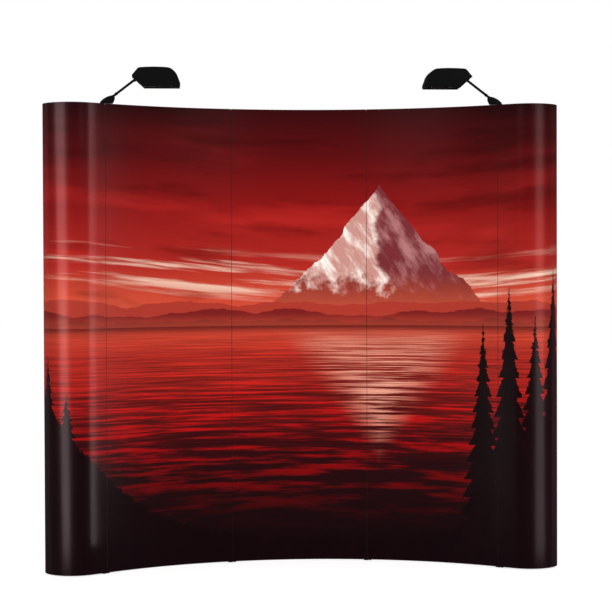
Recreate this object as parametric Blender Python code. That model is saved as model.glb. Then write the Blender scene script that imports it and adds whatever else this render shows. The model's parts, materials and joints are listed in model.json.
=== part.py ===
"""Curved pop-up display: a three by three scissor frame that carries five printed panels and two arm lamps.

Metres, +Z up. The origin is on the floor under the middle of the whole display, and the
concave printed face looks along -Y. Columns, bays and rows are counted from the left and from the floor.
"""

import math

import bmesh
import bpy
from mathutils import Matrix, Vector

# Panels and the arc that they follow
panel_width = 0.673            # one front panel, measured along its arc
bay_angle = math.radians(25)   # turn of the arc from one hub line to the next
panel_sheet = 0.0012           # laminated print
tape_thickness = 0.0013        # magnetic tape on the back of the print
tape_width = 0.012
tape_margin = 0.003            # bare print between the tape and the panel's edge
seam_gap = 0.002               # between neighbouring panels
panel_floor_gap = 0.006
panel_over_hub = 0.004         # how far the panels stand above the top hubs
end_straight = 0.090           # flat stretch of an end panel before it curls back
rear_lap = 0.016               # how far an end panel laps past the rear hub line
panel_facets = 14              # flat strips that make up one panel's curve
rail_height = 0.030
rail_thickness = 0.002
rail_drop = 0.010              # from the panel's top edge to the rail
rail_bar_gap = 0.006           # between the rail's end and the channel bar

# Frame
bays_wide = 3
rows_high = 3
frame_depth = 0.240            # front hub line to rear hub line
hub_size = 0.048               # across the flats
hub_thickness = 0.020
hub_corner = 0.008
pin_reach = 0.016              # hub centre to the pin of a strut
strut_diameter = 0.013
strut_washer = 0.001           # between the two tubes of a pair
tongue_thickness = 0.006
tongue_width = 0.010
tongue_facets = 3              # flat faces round the tip of a tongue
rivet_diameter = 0.008
rivet_sides = 6
rivet_head = 0.0015
bar_width = 0.036
bar_depth = 0.008
bar_wall = 0.0016
bar_floor_gap = 0.004
bar_seat = 0.0005              # how deep a bar's flanges bed into a hub
bar_joint_gap = 0.0008         # between a line's bars, which meet end to end on the inner hubs

# Lamps
clip_flange_diameter = 0.022
clip_flange_rise = 0.0047
clip_blade_depth = 0.012
post_diameter = 0.008
post_height = 0.009
pod_length = 0.070
pod_height = 0.039
pod_width = 0.026
pod_tail = 0.011               # from the swivel axis back to the pod's tail
pod_over_panel = 0.001
arm_diameter = 0.012
arm_length = 0.154             # from its root in the pod to the head's pivot
arm_slope = math.radians(37.5)
eye_diameter = 0.016
eye_width = 0.013              # a little wider than the arm is thick
hinge_pin_diameter = 0.005
head_length = 0.233
head_height = 0.093
head_width = 0.120
head_wall = 0.0022
head_round = 0.005
ear_thickness = 0.004
ear_half_length = 0.013
ear_depth = 0.021
slot_ahead = 0.022             # window in the shell, from the pivot's foot towards the glass
slot_behind = 0.0150           # and towards the head's tip
gland_diameter = 0.009
gland_length = 0.006
gland_offset = 0.024
glass_thickness = 0.003
glass_recess = 0.006           # the shell's rim stands this far below the glass
reflector_sheet = 0.001
reflector_length = 0.136       # across its mouth
reflector_width = 0.100
tube_diameter = 0.010
tube_cap_diameter = 0.014
tube_cap_length = 0.018
tube_height = 0.034            # above the glass

# Clearances
seat_gap = 0.0003              # between pieces that rest on or turn in each other
tongue_end_gap = 0.0005
overrun = 0.010                # how far a cutter runs past what it cuts

# Shapes given as shares of the sizes that they follow
pod_outline_shares = ((0, 0), (0, 0.15), (0.12, 0.40), (0.29, 0.64), (0.50, 0.84), (0.72, 0.96),
                      (0.88, 1), (0.97, 0.90), (1, 0.70), (0.97, 0.40), (0.86, 0))
pod_socket_share = (0.72, 0.66)
head_outline_shares = ((0.26, 0), (0.985, 0), (1, 0.13), (0.92, 0.68), (0.80, 0.955), (0.65, 0.99),
                       (0.50, 1), (0.32, 0.992), (0.146, 0.965), (0, 0.53))
head_pivot_share = (0.107, 0.455)
reflector_place_share = 0.615

# Worked out from the sizes above
arc_radius = panel_width / bay_angle
hub_half = hub_size / 2
print_depth = panel_sheet + tape_thickness
front_line = arc_radius + print_depth + seat_gap + bar_depth + hub_thickness / 2
rear_line = front_line + frame_depth
end_depth = frame_depth + 2 * (print_depth + seat_gap + bar_depth) + hub_thickness
curl_radius = end_depth / 2
half_turn = bay_angle * bays_wide / 2
strut_offset = (strut_diameter + strut_washer) / 2
notch_width = tongue_thickness + 2 * seat_gap
notch_floor = pin_reach - tongue_width / 2 - tongue_end_gap
tube_setback = hub_half - pin_reach + strut_diameter / 2 + tongue_end_gap


def level_reach():
    """How far a level strut spans, from the pin in a front hub to the pin in the next rear hub."""
    front = Vector((pin_reach, front_line))
    rear = Vector((0, rear_line)) - Vector((pin_reach, 0))
    return (Matrix.Rotation(-bay_angle, 2) @ rear - front).length


# The upright struts are as long as the level ones, so that the frame can fold into one bundle
hub_pitch = math.sqrt(level_reach() ** 2 - frame_depth ** 2) + 2 * pin_reach
hub_top = rows_high * hub_pitch + hub_size
panel_top = hub_top + panel_over_hub


def depth_of_arc_centre():
    """Y of the arc's centre, which puts the origin midway between the foremost and rearmost points."""
    foremost = (arc_radius * math.cos(half_turn) - end_straight * math.sin(half_turn)
                + curl_radius * math.cos(half_turn) - curl_radius)
    inner_turn = bay_angle * (bays_wide % 2) / 2
    rearmost = ((rear_line + hub_thickness / 2) * math.cos(inner_turn)
                + hub_half * math.sin(inner_turn))
    return -(foremost + rearmost) / 2


arc_centre_y = depth_of_arc_centre()


def line_angle(line):
    """Turn of a hub line from straight ahead, towards +X. Line 0 is the left end."""
    return bay_angle * (line - bays_wide / 2)


def on_arc(radius, turn, height=0):
    return Vector((radius * math.sin(turn), arc_centre_y + radius * math.cos(turn), height))


# Materials

def material(name, colour, roughness, metallic=0.0):
    made = bpy.data.materials.new(name)
    made.use_nodes = True
    shader = made.node_tree.nodes["Principled BSDF"]
    shader.inputs["Base Color"].default_value = (*colour, 1)
    shader.inputs["Roughness"].default_value = roughness
    shader.inputs["Metallic"].default_value = metallic
    return made


# Mesh making

def prism(outline, low, high):
    """A closed solid: an outline in X and Y, filled and extruded along Z from low to high."""
    shape = bmesh.new()
    corners = [shape.verts.new((x, y, low)) for x, y in outline]
    face = shape.faces.new(corners)
    grown = bmesh.ops.extrude_face_region(shape, geom=[face])
    raised = [item for item in grown["geom"] if isinstance(item, bmesh.types.BMVert)]
    bmesh.ops.translate(shape, verts=raised, vec=(0, 0, high - low))
    bmesh.ops.recalc_face_normals(shape, faces=shape.faces)
    return shape


def box(low, high):
    outline = ((low[0], low[1]), (high[0], low[1]), (high[0], high[1]), (low[0], high[1]))
    return prism(outline, low[2], high[2])


def rod(start, end, diameter, sides=8):
    """A round bar between two points."""
    start, end = Vector(start), Vector(end)
    along = end - start
    turn = along.to_track_quat("Z", "Y").to_matrix().to_4x4()
    shape = bmesh.new()
    bmesh.ops.create_cone(shape, cap_ends=True, segments=sides, radius1=diameter / 2,
                          radius2=diameter / 2, depth=along.length)
    bmesh.ops.transform(shape, verts=shape.verts,
                        matrix=Matrix.Translation((start + end) / 2) @ turn)
    return shape


def turned(shape, matrix):
    bmesh.ops.transform(shape, verts=shape.verts, matrix=matrix)
    bmesh.ops.recalc_face_normals(shape, faces=shape.faces)
    return shape


def upright_plane():
    """Turns X and Y of a drawn outline into X and Z, with the extrusion along Y."""
    return Matrix(((1, 0, 0, 0), (0, 0, -1, 0), (0, 1, 0, 0), (0, 0, 0, 1)))


def mesh_from(shape, name):
    mesh = bpy.data.meshes.new(name)
    shape.to_mesh(mesh)
    shape.free()
    return mesh


def combined(name, base, joined=(), cut=()):
    """One mesh from several shapes: the joins come first, then the cuts."""
    helpers = [bpy.data.objects.new(name, mesh_from(base, name))]
    steps = [("UNION", shape) for shape in joined]
    steps += [("DIFFERENCE", shape) for shape in cut]
    for operation, shape in steps:
        helper = bpy.data.objects.new(name + "_tool", mesh_from(shape, name + "_tool"))
        modifier = helpers[0].modifiers.new(operation, "BOOLEAN")
        modifier.solver = "EXACT"
        modifier.operation = operation
        modifier.object = helper
        helpers.append(helper)
    for helper in helpers:
        bpy.context.scene.collection.objects.link(helper)
    bpy.context.view_layer.update()
    graph = bpy.context.evaluated_depsgraph_get()
    mesh = bpy.data.meshes.new_from_object(helpers[0].evaluated_get(graph))
    mesh.name = name
    for helper in helpers:
        bpy.data.objects.remove(helper, do_unlink=True)
    return mesh


def rounded(mesh, angle=math.radians(35)):
    mesh.shade_smooth()
    mesh.set_sharp_from_angle(angle=angle)
    return mesh


def add_piece(name, mesh, look, place, turn=0.0, parent=None):
    """Adds one named sub-part. Its place is in the display's own frame, and its turn is about Z."""
    piece = bpy.data.objects.new(name, mesh)
    bpy.context.scene.collection.objects.link(piece)
    if not mesh.materials:
        mesh.materials.append(look)
    place = Vector(place)
    if parent:
        piece.parent = parent
        place = parent.matrix_world.inverted() @ place
        turn -= parent.matrix_world.to_euler().z
    piece.location = place
    piece.rotation_euler = (0, 0, turn)
    return piece


def add_axis(name, place, turn=0.0, parent=None):
    """An empty that marks where a moving sub-assembly slides or turns."""
    empty = bpy.data.objects.new(name, None)
    bpy.context.scene.collection.objects.link(empty)
    place = Vector(place)
    if parent:
        empty.parent = parent
        place = parent.matrix_world.inverted() @ place
        turn -= parent.matrix_world.to_euler().z
    empty.location = place
    empty.rotation_euler = (0, 0, turn)
    bpy.context.view_layer.update()
    return empty


# Hubs and channel bars

def hub_shape(hand):
    """A moulded hub with four offset notches, like a pinwheel. Hand is 1 for a front hub, -1 for a rear one."""
    offset = hand * strut_offset
    side = ((hub_half, hub_corner - hub_half),
            (hub_half, offset - notch_width / 2),
            (notch_floor, offset - notch_width / 2),
            (notch_floor, offset + notch_width / 2),
            (hub_half, offset + notch_width / 2),
            (hub_half, hub_half - hub_corner))
    outline = []
    for quarter in range(4):
        spin = Matrix.Rotation(quarter * math.pi / 2, 2)
        outline += [tuple(spin @ Vector(point)) for point in side]
    return turned(prism(outline, -hub_thickness / 2, hub_thickness / 2), upright_plane())


def bar_shape(side):
    """A channel bar along Z. Its steel web is outermost and its flanges bed into the hubs; side is -1 for front."""
    outer = bar_width / 2
    inner = outer - bar_wall
    web = side * (hub_thickness / 2 + bar_depth)
    hollow = web - side * bar_wall
    root = side * (hub_thickness / 2 - bar_seat)
    outline = ((-outer, root), (-outer, web), (outer, web), (outer, root),
               (inner, root), (inner, hollow), (-inner, hollow), (-inner, root))
    return prism(outline, bar_floor_gap, hub_top)


def hub_heights():
    return [hub_half + level * hub_pitch for level in range(rows_high + 1)]


def column_mesh(side):
    """One hub line with its channel bar: front columns have side -1, rear ones 1."""
    hubs = [turned(hub_shape(-side), Matrix.Translation((0, 0, height))) for height in hub_heights()]
    face = side * (hub_thickness / 2 + bar_seat)
    beyond = side * (hub_thickness / 2 + bar_depth + overrun)
    reach = bar_width / 2 + overrun
    joints = []
    for height in hub_heights()[1:-1]:
        joints.append(box((-reach, min(face, beyond), height - bar_joint_gap / 2),
                          (reach, max(face, beyond), height + bar_joint_gap / 2)))
    name = "front_column" if side < 0 else "rear_column"
    return combined(name, bar_shape(side), joined=hubs, cut=joints)


def add_columns(look_front, look_rear):
    front_mesh = column_mesh(-1)
    rear_mesh = column_mesh(1)
    for line in range(bays_wide + 1):
        turn = line_angle(line)
        add_piece(f"front_column_{line + 1}", front_mesh, look_front, on_arc(front_line, turn), -turn)
    for name, line in (("rear_column_left", 0), ("rear_column_right", bays_wide)):
        turn = line_angle(line)
        add_piece(name, rear_mesh, look_rear, on_arc(rear_line, turn), -turn)


def add_rear_hubs(look):
    mesh = mesh_from(hub_shape(-1), "rear_hub")
    for line in range(1, bays_wide):
        turn = line_angle(line)
        for level, height in enumerate(hub_heights()):
            add_piece(f"rear_hub_line{line + 1}_level{level + 1}", mesh, look,
                      on_arc(rear_line, turn, height), -turn)


# Scissor struts

def strut_shapes(start, end, normal):
    """A tube between two pins, and the flat bar inside it whose round ends are its tongues."""
    start, end, normal = Vector(start), Vector(end), Vector(normal)
    along = (end - start).normalized()
    tube = rod(start + along * tube_setback, end - along * tube_setback, strut_diameter)
    half = tongue_width / 2
    length = (end - start).length
    outline = []
    for centre, first in ((0, math.pi / 2), (length, -math.pi / 2)):
        for step in range(tongue_facets + 1):
            angle = first + math.pi * step / tongue_facets
            outline.append((centre + half * math.cos(angle), half * math.sin(angle)))
    flat = prism(outline, -tongue_thickness / 2, tongue_thickness / 2)
    across = normal.cross(along)
    axes = Matrix((along, across, normal)).transposed().to_4x4()
    return tube, turned(flat, Matrix.Translation(start) @ axes)


def pair_mesh(name, first, second, crossing, normal):
    """Two crossing struts and their rivet as one mesh, with its origin at the rivet."""
    tube, flat = strut_shapes(*first, normal)
    others = list(strut_shapes(*second, normal))
    reach = Vector(normal) * (strut_offset + strut_diameter / 2 + rivet_head)
    rivet = rod(Vector(crossing) - reach, Vector(crossing) + reach, rivet_diameter, rivet_sides)
    mesh = combined(name, tube, joined=[flat, *others, rivet])
    mesh.transform(Matrix.Translation(-Vector(crossing)))
    return rounded(mesh)


def level_pair():
    """Mesh of a level pair and how far its rivet lies from the arc's centre. +Y is the bay's middle."""
    spin = Matrix.Rotation(bay_angle / 2, 3, "Z")
    front = spin @ Vector((pin_reach, front_line, strut_offset))
    rear = spin @ Vector((pin_reach, rear_line, -strut_offset))
    far_front = Vector((-front.x, front.y, -strut_offset))
    far_rear = Vector((-rear.x, rear.y, strut_offset))
    share = front.x / (front.x - far_rear.x)
    crossing = (0, front.y + share * (far_rear.y - front.y), 0)
    mesh = pair_mesh("level_pair", (front, far_rear), (rear, far_front), crossing, (0, 0, 1))
    return mesh, crossing[1]


def upright_pair():
    """Mesh of an upright pair, about the point midway between its four hubs."""
    half_depth = frame_depth / 2
    half_rise = hub_pitch / 2 - pin_reach
    first = ((-strut_offset, -half_depth, -half_rise), (-strut_offset, half_depth, half_rise))
    second = ((strut_offset, half_depth, -half_rise), (strut_offset, -half_depth, half_rise))
    return pair_mesh("upright_pair", first, second, (0, 0, 0), (1, 0, 0))


def add_scissors(look):
    level_mesh, rivet_radius = level_pair()
    upright_mesh = upright_pair()
    for level, height in enumerate(hub_heights()):
        for bay in range(bays_wide):
            turn = line_angle(bay + 1 / 2)
            add_piece(f"level_scissor_bay{bay + 1}_level{level + 1}", level_mesh, look,
                      on_arc(rivet_radius, turn, height), -turn)
    for line in range(bays_wide + 1):
        turn = line_angle(line)
        for row in range(rows_high):
            height = hub_half + (row + 1 / 2) * hub_pitch
            add_piece(f"upright_scissor_line{line + 1}_row{row + 1}", upright_mesh, look,
                      on_arc((front_line + rear_line) / 2, turn, height), -turn)


# Printed panels

def arc_points(radius, turns):
    """Points on an arc about the origin, by turn from +Y towards +X, moved so that +Y at arc_radius is zero."""
    return [(radius * math.sin(turn), radius * math.cos(turn) - arc_radius) for turn in turns]


def even_turns(last, steps):
    """Turns from one edge to the other, evenly spaced."""
    return [last * (2 * step / steps - 1) for step in range(steps + 1)]


def front_panel_mesh():
    """A curved sheet with raised tape down both edges, and its origin at the middle of its printed face."""
    edge = bay_angle / 2 - seam_gap / 2 / arc_radius
    outer_tape = edge - tape_margin / arc_radius
    inner_tape = outer_tape - tape_width / arc_radius
    back = arc_radius + panel_sheet
    raised = back + tape_thickness
    middle = even_turns(inner_tape, panel_facets)
    outline = arc_points(arc_radius, [-edge, -outer_tape, *middle, outer_tape, edge])
    outline += arc_points(back, [edge, outer_tape])
    outline += arc_points(raised, [outer_tape, inner_tape])
    outline += arc_points(back, middle[::-1])
    outline += arc_points(raised, [-inner_tape, -outer_tape])
    outline += arc_points(back, [-outer_tape, -edge])
    return rounded(mesh_from(prism(outline, panel_floor_gap, panel_top), "front_panel"))


def top_rail_mesh():
    """A stiffening strip behind a front panel's top edge. Its facets stay outside the arc that they follow."""
    edge = bay_angle / 2 - (bar_width / 2 + rail_bar_gap) / arc_radius
    facet_share = math.cos(edge / panel_facets)
    inner = (arc_radius + panel_sheet + seat_gap) / facet_share
    turns = even_turns(edge, panel_facets)
    outline = arc_points(inner, turns)
    outline += arc_points(inner + rail_thickness, turns[::-1])
    top = panel_top - rail_drop
    return rounded(mesh_from(prism(outline, top - rail_height, top), "top_rail"))


def end_path(inset, first_run, last_run, steps=16):
    """An end panel's line seen from above: out along its front flat, round the curl and back.

    Inset is how far the line lies inside the printed face, and the runs are distances past the end
    hub line, on the front and on the back."""
    points = [(first_run, inset)]
    for step in range(steps + 1):
        angle = math.pi * step / steps
        reach = curl_radius - inset
        points.append((end_straight + reach * math.sin(angle), curl_radius - reach * math.cos(angle)))
    points.append((last_run, end_depth - inset))
    return points


def end_panel_mesh(side):
    """A sheet that leaves the end hub line flat and curls round to the rear bar. Side is -1 for the left one."""
    front_edge = seam_gap / 2
    outline = end_path(0, front_edge, -rear_lap)
    back = panel_sheet
    raised = panel_sheet + tape_thickness
    tape_start = tape_margin
    tape_end = tape_margin + tape_width
    outline += [(-rear_lap, end_depth - back), (tape_start - rear_lap, end_depth - back),
                (tape_start - rear_lap, end_depth - raised), (tape_end - rear_lap, end_depth - raised),
                (tape_end - rear_lap, end_depth - back)]
    outline += end_path(back, 0, 0)[-2:0:-1]
    outline += [(front_edge + tape_end, back), (front_edge + tape_end, raised),
                (front_edge + tape_start, raised), (front_edge + tape_start, back), (front_edge, back)]
    outline = [(side * x, y) for x, y in outline]
    name = "end_panel_left" if side < 0 else "end_panel_right"
    return rounded(mesh_from(prism(outline, panel_floor_gap, panel_top), name))


def add_panels(print_look, rail_look):
    mesh = front_panel_mesh()
    rail = top_rail_mesh()
    for bay, word in enumerate(("left", "centre", "right")):
        turn = line_angle(bay + 1 / 2)
        slide = add_axis(f"front_panel_{word}_slide", on_arc(arc_radius, turn), -turn)
        add_piece(f"front_panel_{word}", mesh, print_look, slide.location, -turn, slide)
        add_piece(f"front_panel_{word}_top_rail", rail, rail_look, slide.location, -turn, slide)
    for side, line, word in ((-1, 0, "left"), (1, bays_wide, "right")):
        turn = line_angle(line)
        slide = add_axis(f"end_panel_{word}_slide", on_arc(arc_radius, turn), -turn)
        add_piece(f"end_panel_{word}", end_panel_mesh(side), print_look, slide.location, -turn, slide)


# Arm lamps. In a lamp's own frame +X runs along the arm, and the origin is the swivel axis
# at the height of the panels' top edge.

def scaled(shares, length, height, start=(0, 0)):
    return [(start[0] + x * length, start[1] + y * height) for x, y in shares]


pod_base = pod_over_panel
arm_root = scaled([pod_socket_share], pod_length, pod_height, (-pod_tail, pod_base))[0]
pivot = (arm_root[0] + arm_length * math.cos(arm_slope), arm_root[1] + arm_length * math.sin(arm_slope))
head_start = (pivot[0] - head_pivot_share[0] * head_length, pivot[1] - head_pivot_share[1] * head_height)
head_outline = scaled(head_outline_shares, head_length, head_height, head_start)


def inset_outline(outline, distance):
    """The outline with every edge moved inwards. The outline runs anticlockwise."""
    count = len(outline)
    lines = []
    for index in range(count):
        start = Vector(outline[index])
        along = (Vector(outline[(index + 1) % count]) - start).normalized()
        inward = Vector((-along.y, along.x))
        lines.append((start + inward * distance, along))
    points = []
    for index in range(count):
        (first, along), (second, other) = lines[index - 1], lines[index]
        travel = (second - first).cross(other) / along.cross(other)
        points.append(tuple(first + along * travel))
    return points


def side_prism(outline, width):
    """A profile drawn in X and Z, extruded evenly to both sides along Y."""
    return turned(prism(outline, -width / 2, width / 2), upright_plane())


def softened(shape, radius, segments=2):
    """Rounds the edges of a side prism's two flat faces."""
    flats = [face for face in shape.faces if abs(face.normal.y) > 1 / 2]
    edges = {edge for face in flats for edge in face.edges}
    bmesh.ops.bevel(shape, geom=list(edges), offset=radius, segments=segments, profile=1 / 2,
                    affect="EDGES")
    bmesh.ops.recalc_face_normals(shape, faces=shape.faces)
    return shape


def clip_mesh(side):
    """The clip that plugs into the top notch of an end hub, with the post that the pod turns on."""
    flange_low = hub_top + seat_gap - panel_top
    flange_high = flange_low + clip_flange_rise
    flange = rod((0, 0, flange_low), (0, 0, flange_high), clip_flange_diameter, 16)
    post = rod((0, 0, flange_low), (0, 0, flange_high + post_height), post_diameter, 12)
    turn = -side * half_turn
    low = (-strut_offset - tongue_thickness / 2, -hub_thickness / 2, flange_low - clip_blade_depth)
    high = (-strut_offset + tongue_thickness / 2, hub_thickness / 2, flange_low + clip_flange_rise / 2)
    blade = turned(box(low, high), Matrix.Rotation(turn, 4, "Z"))
    return rounded(combined("lamp_clip", flange, joined=[post, blade]))


def pod_mesh():
    outline = scaled(pod_outline_shares, pod_length, pod_height, (-pod_tail, pod_base))
    body = softened(side_prism(outline, pod_width), pod_width / 5)
    bore_top = hub_top + 2 * seat_gap - panel_top + clip_flange_rise + post_height
    bore = rod((0, 0, pod_base - overrun), (0, 0, bore_top), post_diameter + 2 * seat_gap, 12)
    socket = rod(along_arm(-seat_gap), along_arm(pod_length), arm_diameter + 2 * seat_gap, 12)
    return rounded(combined("lamp_pod", body, cut=[bore, socket]))


def along_arm(distance):
    """A point on the arm's centre line, at a distance from its root."""
    return Vector((arm_root[0] + distance * math.cos(arm_slope), 0,
                   arm_root[1] + distance * math.sin(arm_slope)))


def arm_mesh():
    bar = rod(along_arm(0), along_arm(arm_length - hinge_pin_diameter), arm_diameter, 12)
    centre = along_arm(arm_length)
    half_eye = Vector((0, eye_width / 2, 0))
    eye = rod(centre - half_eye, centre + half_eye, eye_diameter, 16)
    half_pin = Vector((0, eye_width / 2 + seat_gap + ear_thickness, 0))
    pin = rod(centre - half_pin, centre + half_pin, hinge_pin_diameter, 12)
    return rounded(combined("lamp_arm", bar, joined=[eye, pin]))


def chamfer_frame():
    """At the rear chamfer of the head: X runs down it towards the glass, Z points into the head.

    The origin is the pivot's foot on the outer face, and the pivot's depth comes with it."""
    tip = Vector((head_outline[-1][0], 0, head_outline[-1][1]))
    heel = Vector((head_outline[0][0], 0, head_outline[0][1]))
    along = (heel - tip).normalized()
    across = Vector((0, 1, 0))
    inward = along.cross(across)
    if inward.z < 0:
        across = -across
        inward = -inward
    centre = Vector((pivot[0], 0, pivot[1]))
    foot = tip + along * (centre - tip).dot(along)
    depth = (centre - foot).dot(inward)
    return Matrix.Translation(foot) @ Matrix((along, across, inward)).transposed().to_4x4(), depth


def x_at(start, end, height):
    """Where the line through two points of a side profile passes a height."""
    return start[0] + (end[0] - start[0]) * (height - start[1]) / (end[1] - start[1])


def mouth_edges(inner, height):
    """Where the slanted walls of an inset head outline reach a height."""
    return x_at(inner[0], inner[-1], height), x_at(inner[1], inner[2], height)


def head_shell_mesh():
    """A thin shell, open on the glass side, with a window and two ears for the arm's eye and a cord gland."""
    body = softened(side_prism(head_outline, head_width), head_round)
    inner = inset_outline(head_outline, head_wall)
    low = head_outline[0][1]
    heel, toe = mouth_edges(inner, low)
    hollow = side_prism([(heel, low - overrun), (toe, low - overrun), (toe, low), *inner[2:], (heel, low)],
                        head_width - 2 * head_wall)
    frame, depth = chamfer_frame()
    gap = eye_width / 2 + seat_gap
    ears = []
    for side in (-1, 1):
        near, far = sorted((side * gap, side * (gap + ear_thickness)))
        ears.append(turned(box((-ear_half_length, near, head_wall / 2),
                               (ear_half_length, far, ear_depth)), frame))
    gland = turned(rod((0, gland_offset, -gland_length), (0, gland_offset, head_wall / 2),
                       gland_diameter), frame)
    window = turned(box((-slot_behind, -gap, -overrun), (slot_ahead, gap, head_wall * 2)), frame)
    reach = gap + ear_thickness + overrun
    bore = turned(rod((0, -reach, depth), (0, reach, depth), hinge_pin_diameter + 2 * seat_gap, 12),
                  frame)
    shell = bmesh.new()
    shell.from_mesh(combined("lamp_head_walls", body, cut=[hollow]))
    return rounded(combined("lamp_head_shell", shell, joined=[*ears, gland], cut=[window, bore]))


def glass_mesh():
    """A pane that fills the head's mouth, a little above its rim."""
    low = head_outline[0][1] + glass_recess
    heel, toe = mouth_edges(inset_outline(head_outline, head_wall + seat_gap), low)
    high = low + glass_thickness
    profile = ((heel, low), (toe, low), (toe, high), (heel, high))
    return mesh_from(side_prism(profile, head_width - 2 * (head_wall + seat_gap)), "lamp_glass")


def roof_over(outline, x):
    """Height of the highest edge of a side profile at one place."""
    edges = zip(outline, outline[1:])
    return max(start[1] + (end[1] - start[1]) * (x - start[0]) / (end[0] - start[0])
               for start, end in edges if end[0] < x <= start[0])


def reflector_mesh():
    """A bent bright sheet: half an ellipse that stands on the glass and touches the head's roof."""
    base = head_outline[0][1] + glass_recess + glass_thickness + seat_gap
    middle = head_start[0] + reflector_place_share * head_length
    roof = roof_over(inset_outline(head_outline, head_wall), middle) - base
    outline = []
    steps = 14
    for inset in (seat_gap, seat_gap + reflector_sheet):
        arc = []
        for step in range(steps + 1):
            angle = math.pi * step / steps
            arc.append((middle + (reflector_length / 2 - inset) * math.cos(angle),
                        base + (roof - 2 * inset) * math.sin(angle)))
        outline += arc if not outline else arc[::-1]
    return rounded(mesh_from(side_prism(outline, reflector_width), "lamp_reflector"))


def tube_mesh():
    """The halogen tube with the ceramic caps that hold it between the head's side walls."""
    middle = head_start[0] + reflector_place_share * head_length
    height = head_outline[0][1] + glass_recess + glass_thickness + tube_height
    half = head_width / 2 - head_wall - seat_gap
    glass = rod((middle, -half, height), (middle, half, height), tube_diameter, 12)
    caps = []
    for side in (-1, 1):
        caps.append(rod((middle, side * half, height), (middle, side * (half - tube_cap_length), height),
                        tube_cap_diameter, 12))
    return rounded(combined("lamp_tube", glass, joined=caps))


def moved(mesh, offset):
    mesh.transform(Matrix.Translation(offset))
    return mesh


def add_lamps(looks):
    """Both lamps stand on the end columns and reach in over the print. The right one is turned half round."""
    to_pivot = Vector((-pivot[0], 0, -pivot[1]))
    turning = {"pod": pod_mesh(), "arm": arm_mesh()}
    tilting = {"head_shell": head_shell_mesh(), "glass": glass_mesh(),
               "reflector": reflector_mesh(), "halogen_tube": tube_mesh()}
    for mesh in tilting.values():
        moved(mesh, to_pivot)
    for word, line, turn in (("left", 0, 0.0), ("right", bays_wide, math.pi)):
        base = on_arc(front_line, line_angle(line), panel_top)
        clip = clip_mesh(1 if word == "right" else -1)
        add_piece(f"lamp_{word}_clip", clip, looks["clip"], base)
        swivel = add_axis(f"lamp_{word}_swivel", base, turn)
        for part, mesh in turning.items():
            add_piece(f"lamp_{word}_{part}", mesh, looks[part], base, turn, swivel)
        centre = base + Matrix.Rotation(turn, 3, "Z") @ -to_pivot
        tilt = add_axis(f"lamp_{word}_tilt", centre, turn, swivel)
        for part, mesh in tilting.items():
            add_piece(f"lamp_{word}_{part}", mesh, looks[part], centre, turn, tilt)


def main():
    for leftover in list(bpy.data.objects):
        bpy.data.objects.remove(leftover, do_unlink=True)
    black_plastic = material("hub_plastic", (0.02, 0.02, 0.022), 0.5)
    bar_steel = material("bar_steel", (0.10, 0.10, 0.11), 0.45, 0.6)
    aluminium = material("strut_aluminium", (0.62, 0.63, 0.65), 0.35, 1.0)
    printed = material("laminated_print", (0.16, 0.012, 0.012), 0.3)
    rail = material("rail_plastic", (0.75, 0.75, 0.73), 0.5)
    lamp_looks = {
        "clip": material("lamp_clip_plastic", (0.02, 0.02, 0.02), 0.5),
        "pod": material("lamp_pod_plastic", (0.015, 0.015, 0.017), 0.45),
        "arm": material("lamp_arm_steel", (0.02, 0.02, 0.022), 0.35, 0.5),
        "head_shell": material("lamp_head_paint", (0.018, 0.018, 0.02), 0.4, 0.3),
        "glass": material("lamp_glass", (0.85, 0.9, 0.9), 0.05),
        "reflector": material("lamp_reflector_metal", (0.9, 0.9, 0.88), 0.15, 1.0),
        "halogen_tube": material("lamp_tube_glass", (0.92, 0.92, 0.9), 0.2),
    }
    add_columns(bar_steel, bar_steel)
    add_rear_hubs(black_plastic)
    add_scissors(aluminium)
    add_panels(printed, rail)
    add_lamps(lamp_looks)


main()
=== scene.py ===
"""Looks of the curved pop-up display: printed panels, scissor frame and arm lamps.

Metres, +Z up. The origin is on the floor under the middle of the display, and the concave
printed face looks along -Y. Columns, bays and levels are counted from the left and from the floor.
"""

import json
from math import copysign, cos, hypot, pi, radians, sin, sqrt

import bmesh
import bpy
from mathutils import Matrix, Vector

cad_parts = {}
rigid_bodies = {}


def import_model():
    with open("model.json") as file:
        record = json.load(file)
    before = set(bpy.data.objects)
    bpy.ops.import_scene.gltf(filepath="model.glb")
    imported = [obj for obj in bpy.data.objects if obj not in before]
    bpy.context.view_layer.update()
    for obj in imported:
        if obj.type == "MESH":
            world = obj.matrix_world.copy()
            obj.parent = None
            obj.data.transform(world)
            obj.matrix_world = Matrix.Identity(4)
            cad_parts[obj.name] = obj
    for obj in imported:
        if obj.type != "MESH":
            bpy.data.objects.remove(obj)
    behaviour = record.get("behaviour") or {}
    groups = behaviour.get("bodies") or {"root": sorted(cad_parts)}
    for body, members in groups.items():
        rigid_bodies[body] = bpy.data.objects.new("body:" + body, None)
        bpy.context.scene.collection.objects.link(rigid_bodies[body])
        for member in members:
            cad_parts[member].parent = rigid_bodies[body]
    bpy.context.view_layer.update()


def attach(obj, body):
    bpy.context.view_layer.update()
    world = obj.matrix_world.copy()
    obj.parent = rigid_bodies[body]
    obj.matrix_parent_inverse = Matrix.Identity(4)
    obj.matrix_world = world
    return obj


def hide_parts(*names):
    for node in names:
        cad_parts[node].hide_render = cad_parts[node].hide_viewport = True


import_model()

# Panels and the arc that they follow
panel_width = 0.673
bay_angle = radians(25)
panel_sheet = 0.0012
tape_thickness = 0.0013
tape_width = 0.012
tape_margin = 0.003
seam_gap = 0.002
panel_floor_gap = 0.006
panel_over_hub = 0.004
end_straight = 0.090
rear_lap = 0.016
rail_height = 0.030
rail_thickness = 0.002
rail_drop = 0.010
rail_bar_gap = 0.006
panel_columns = 48             # strips across one front panel
curl_columns = 64              # strips round one end panel's curl
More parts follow.
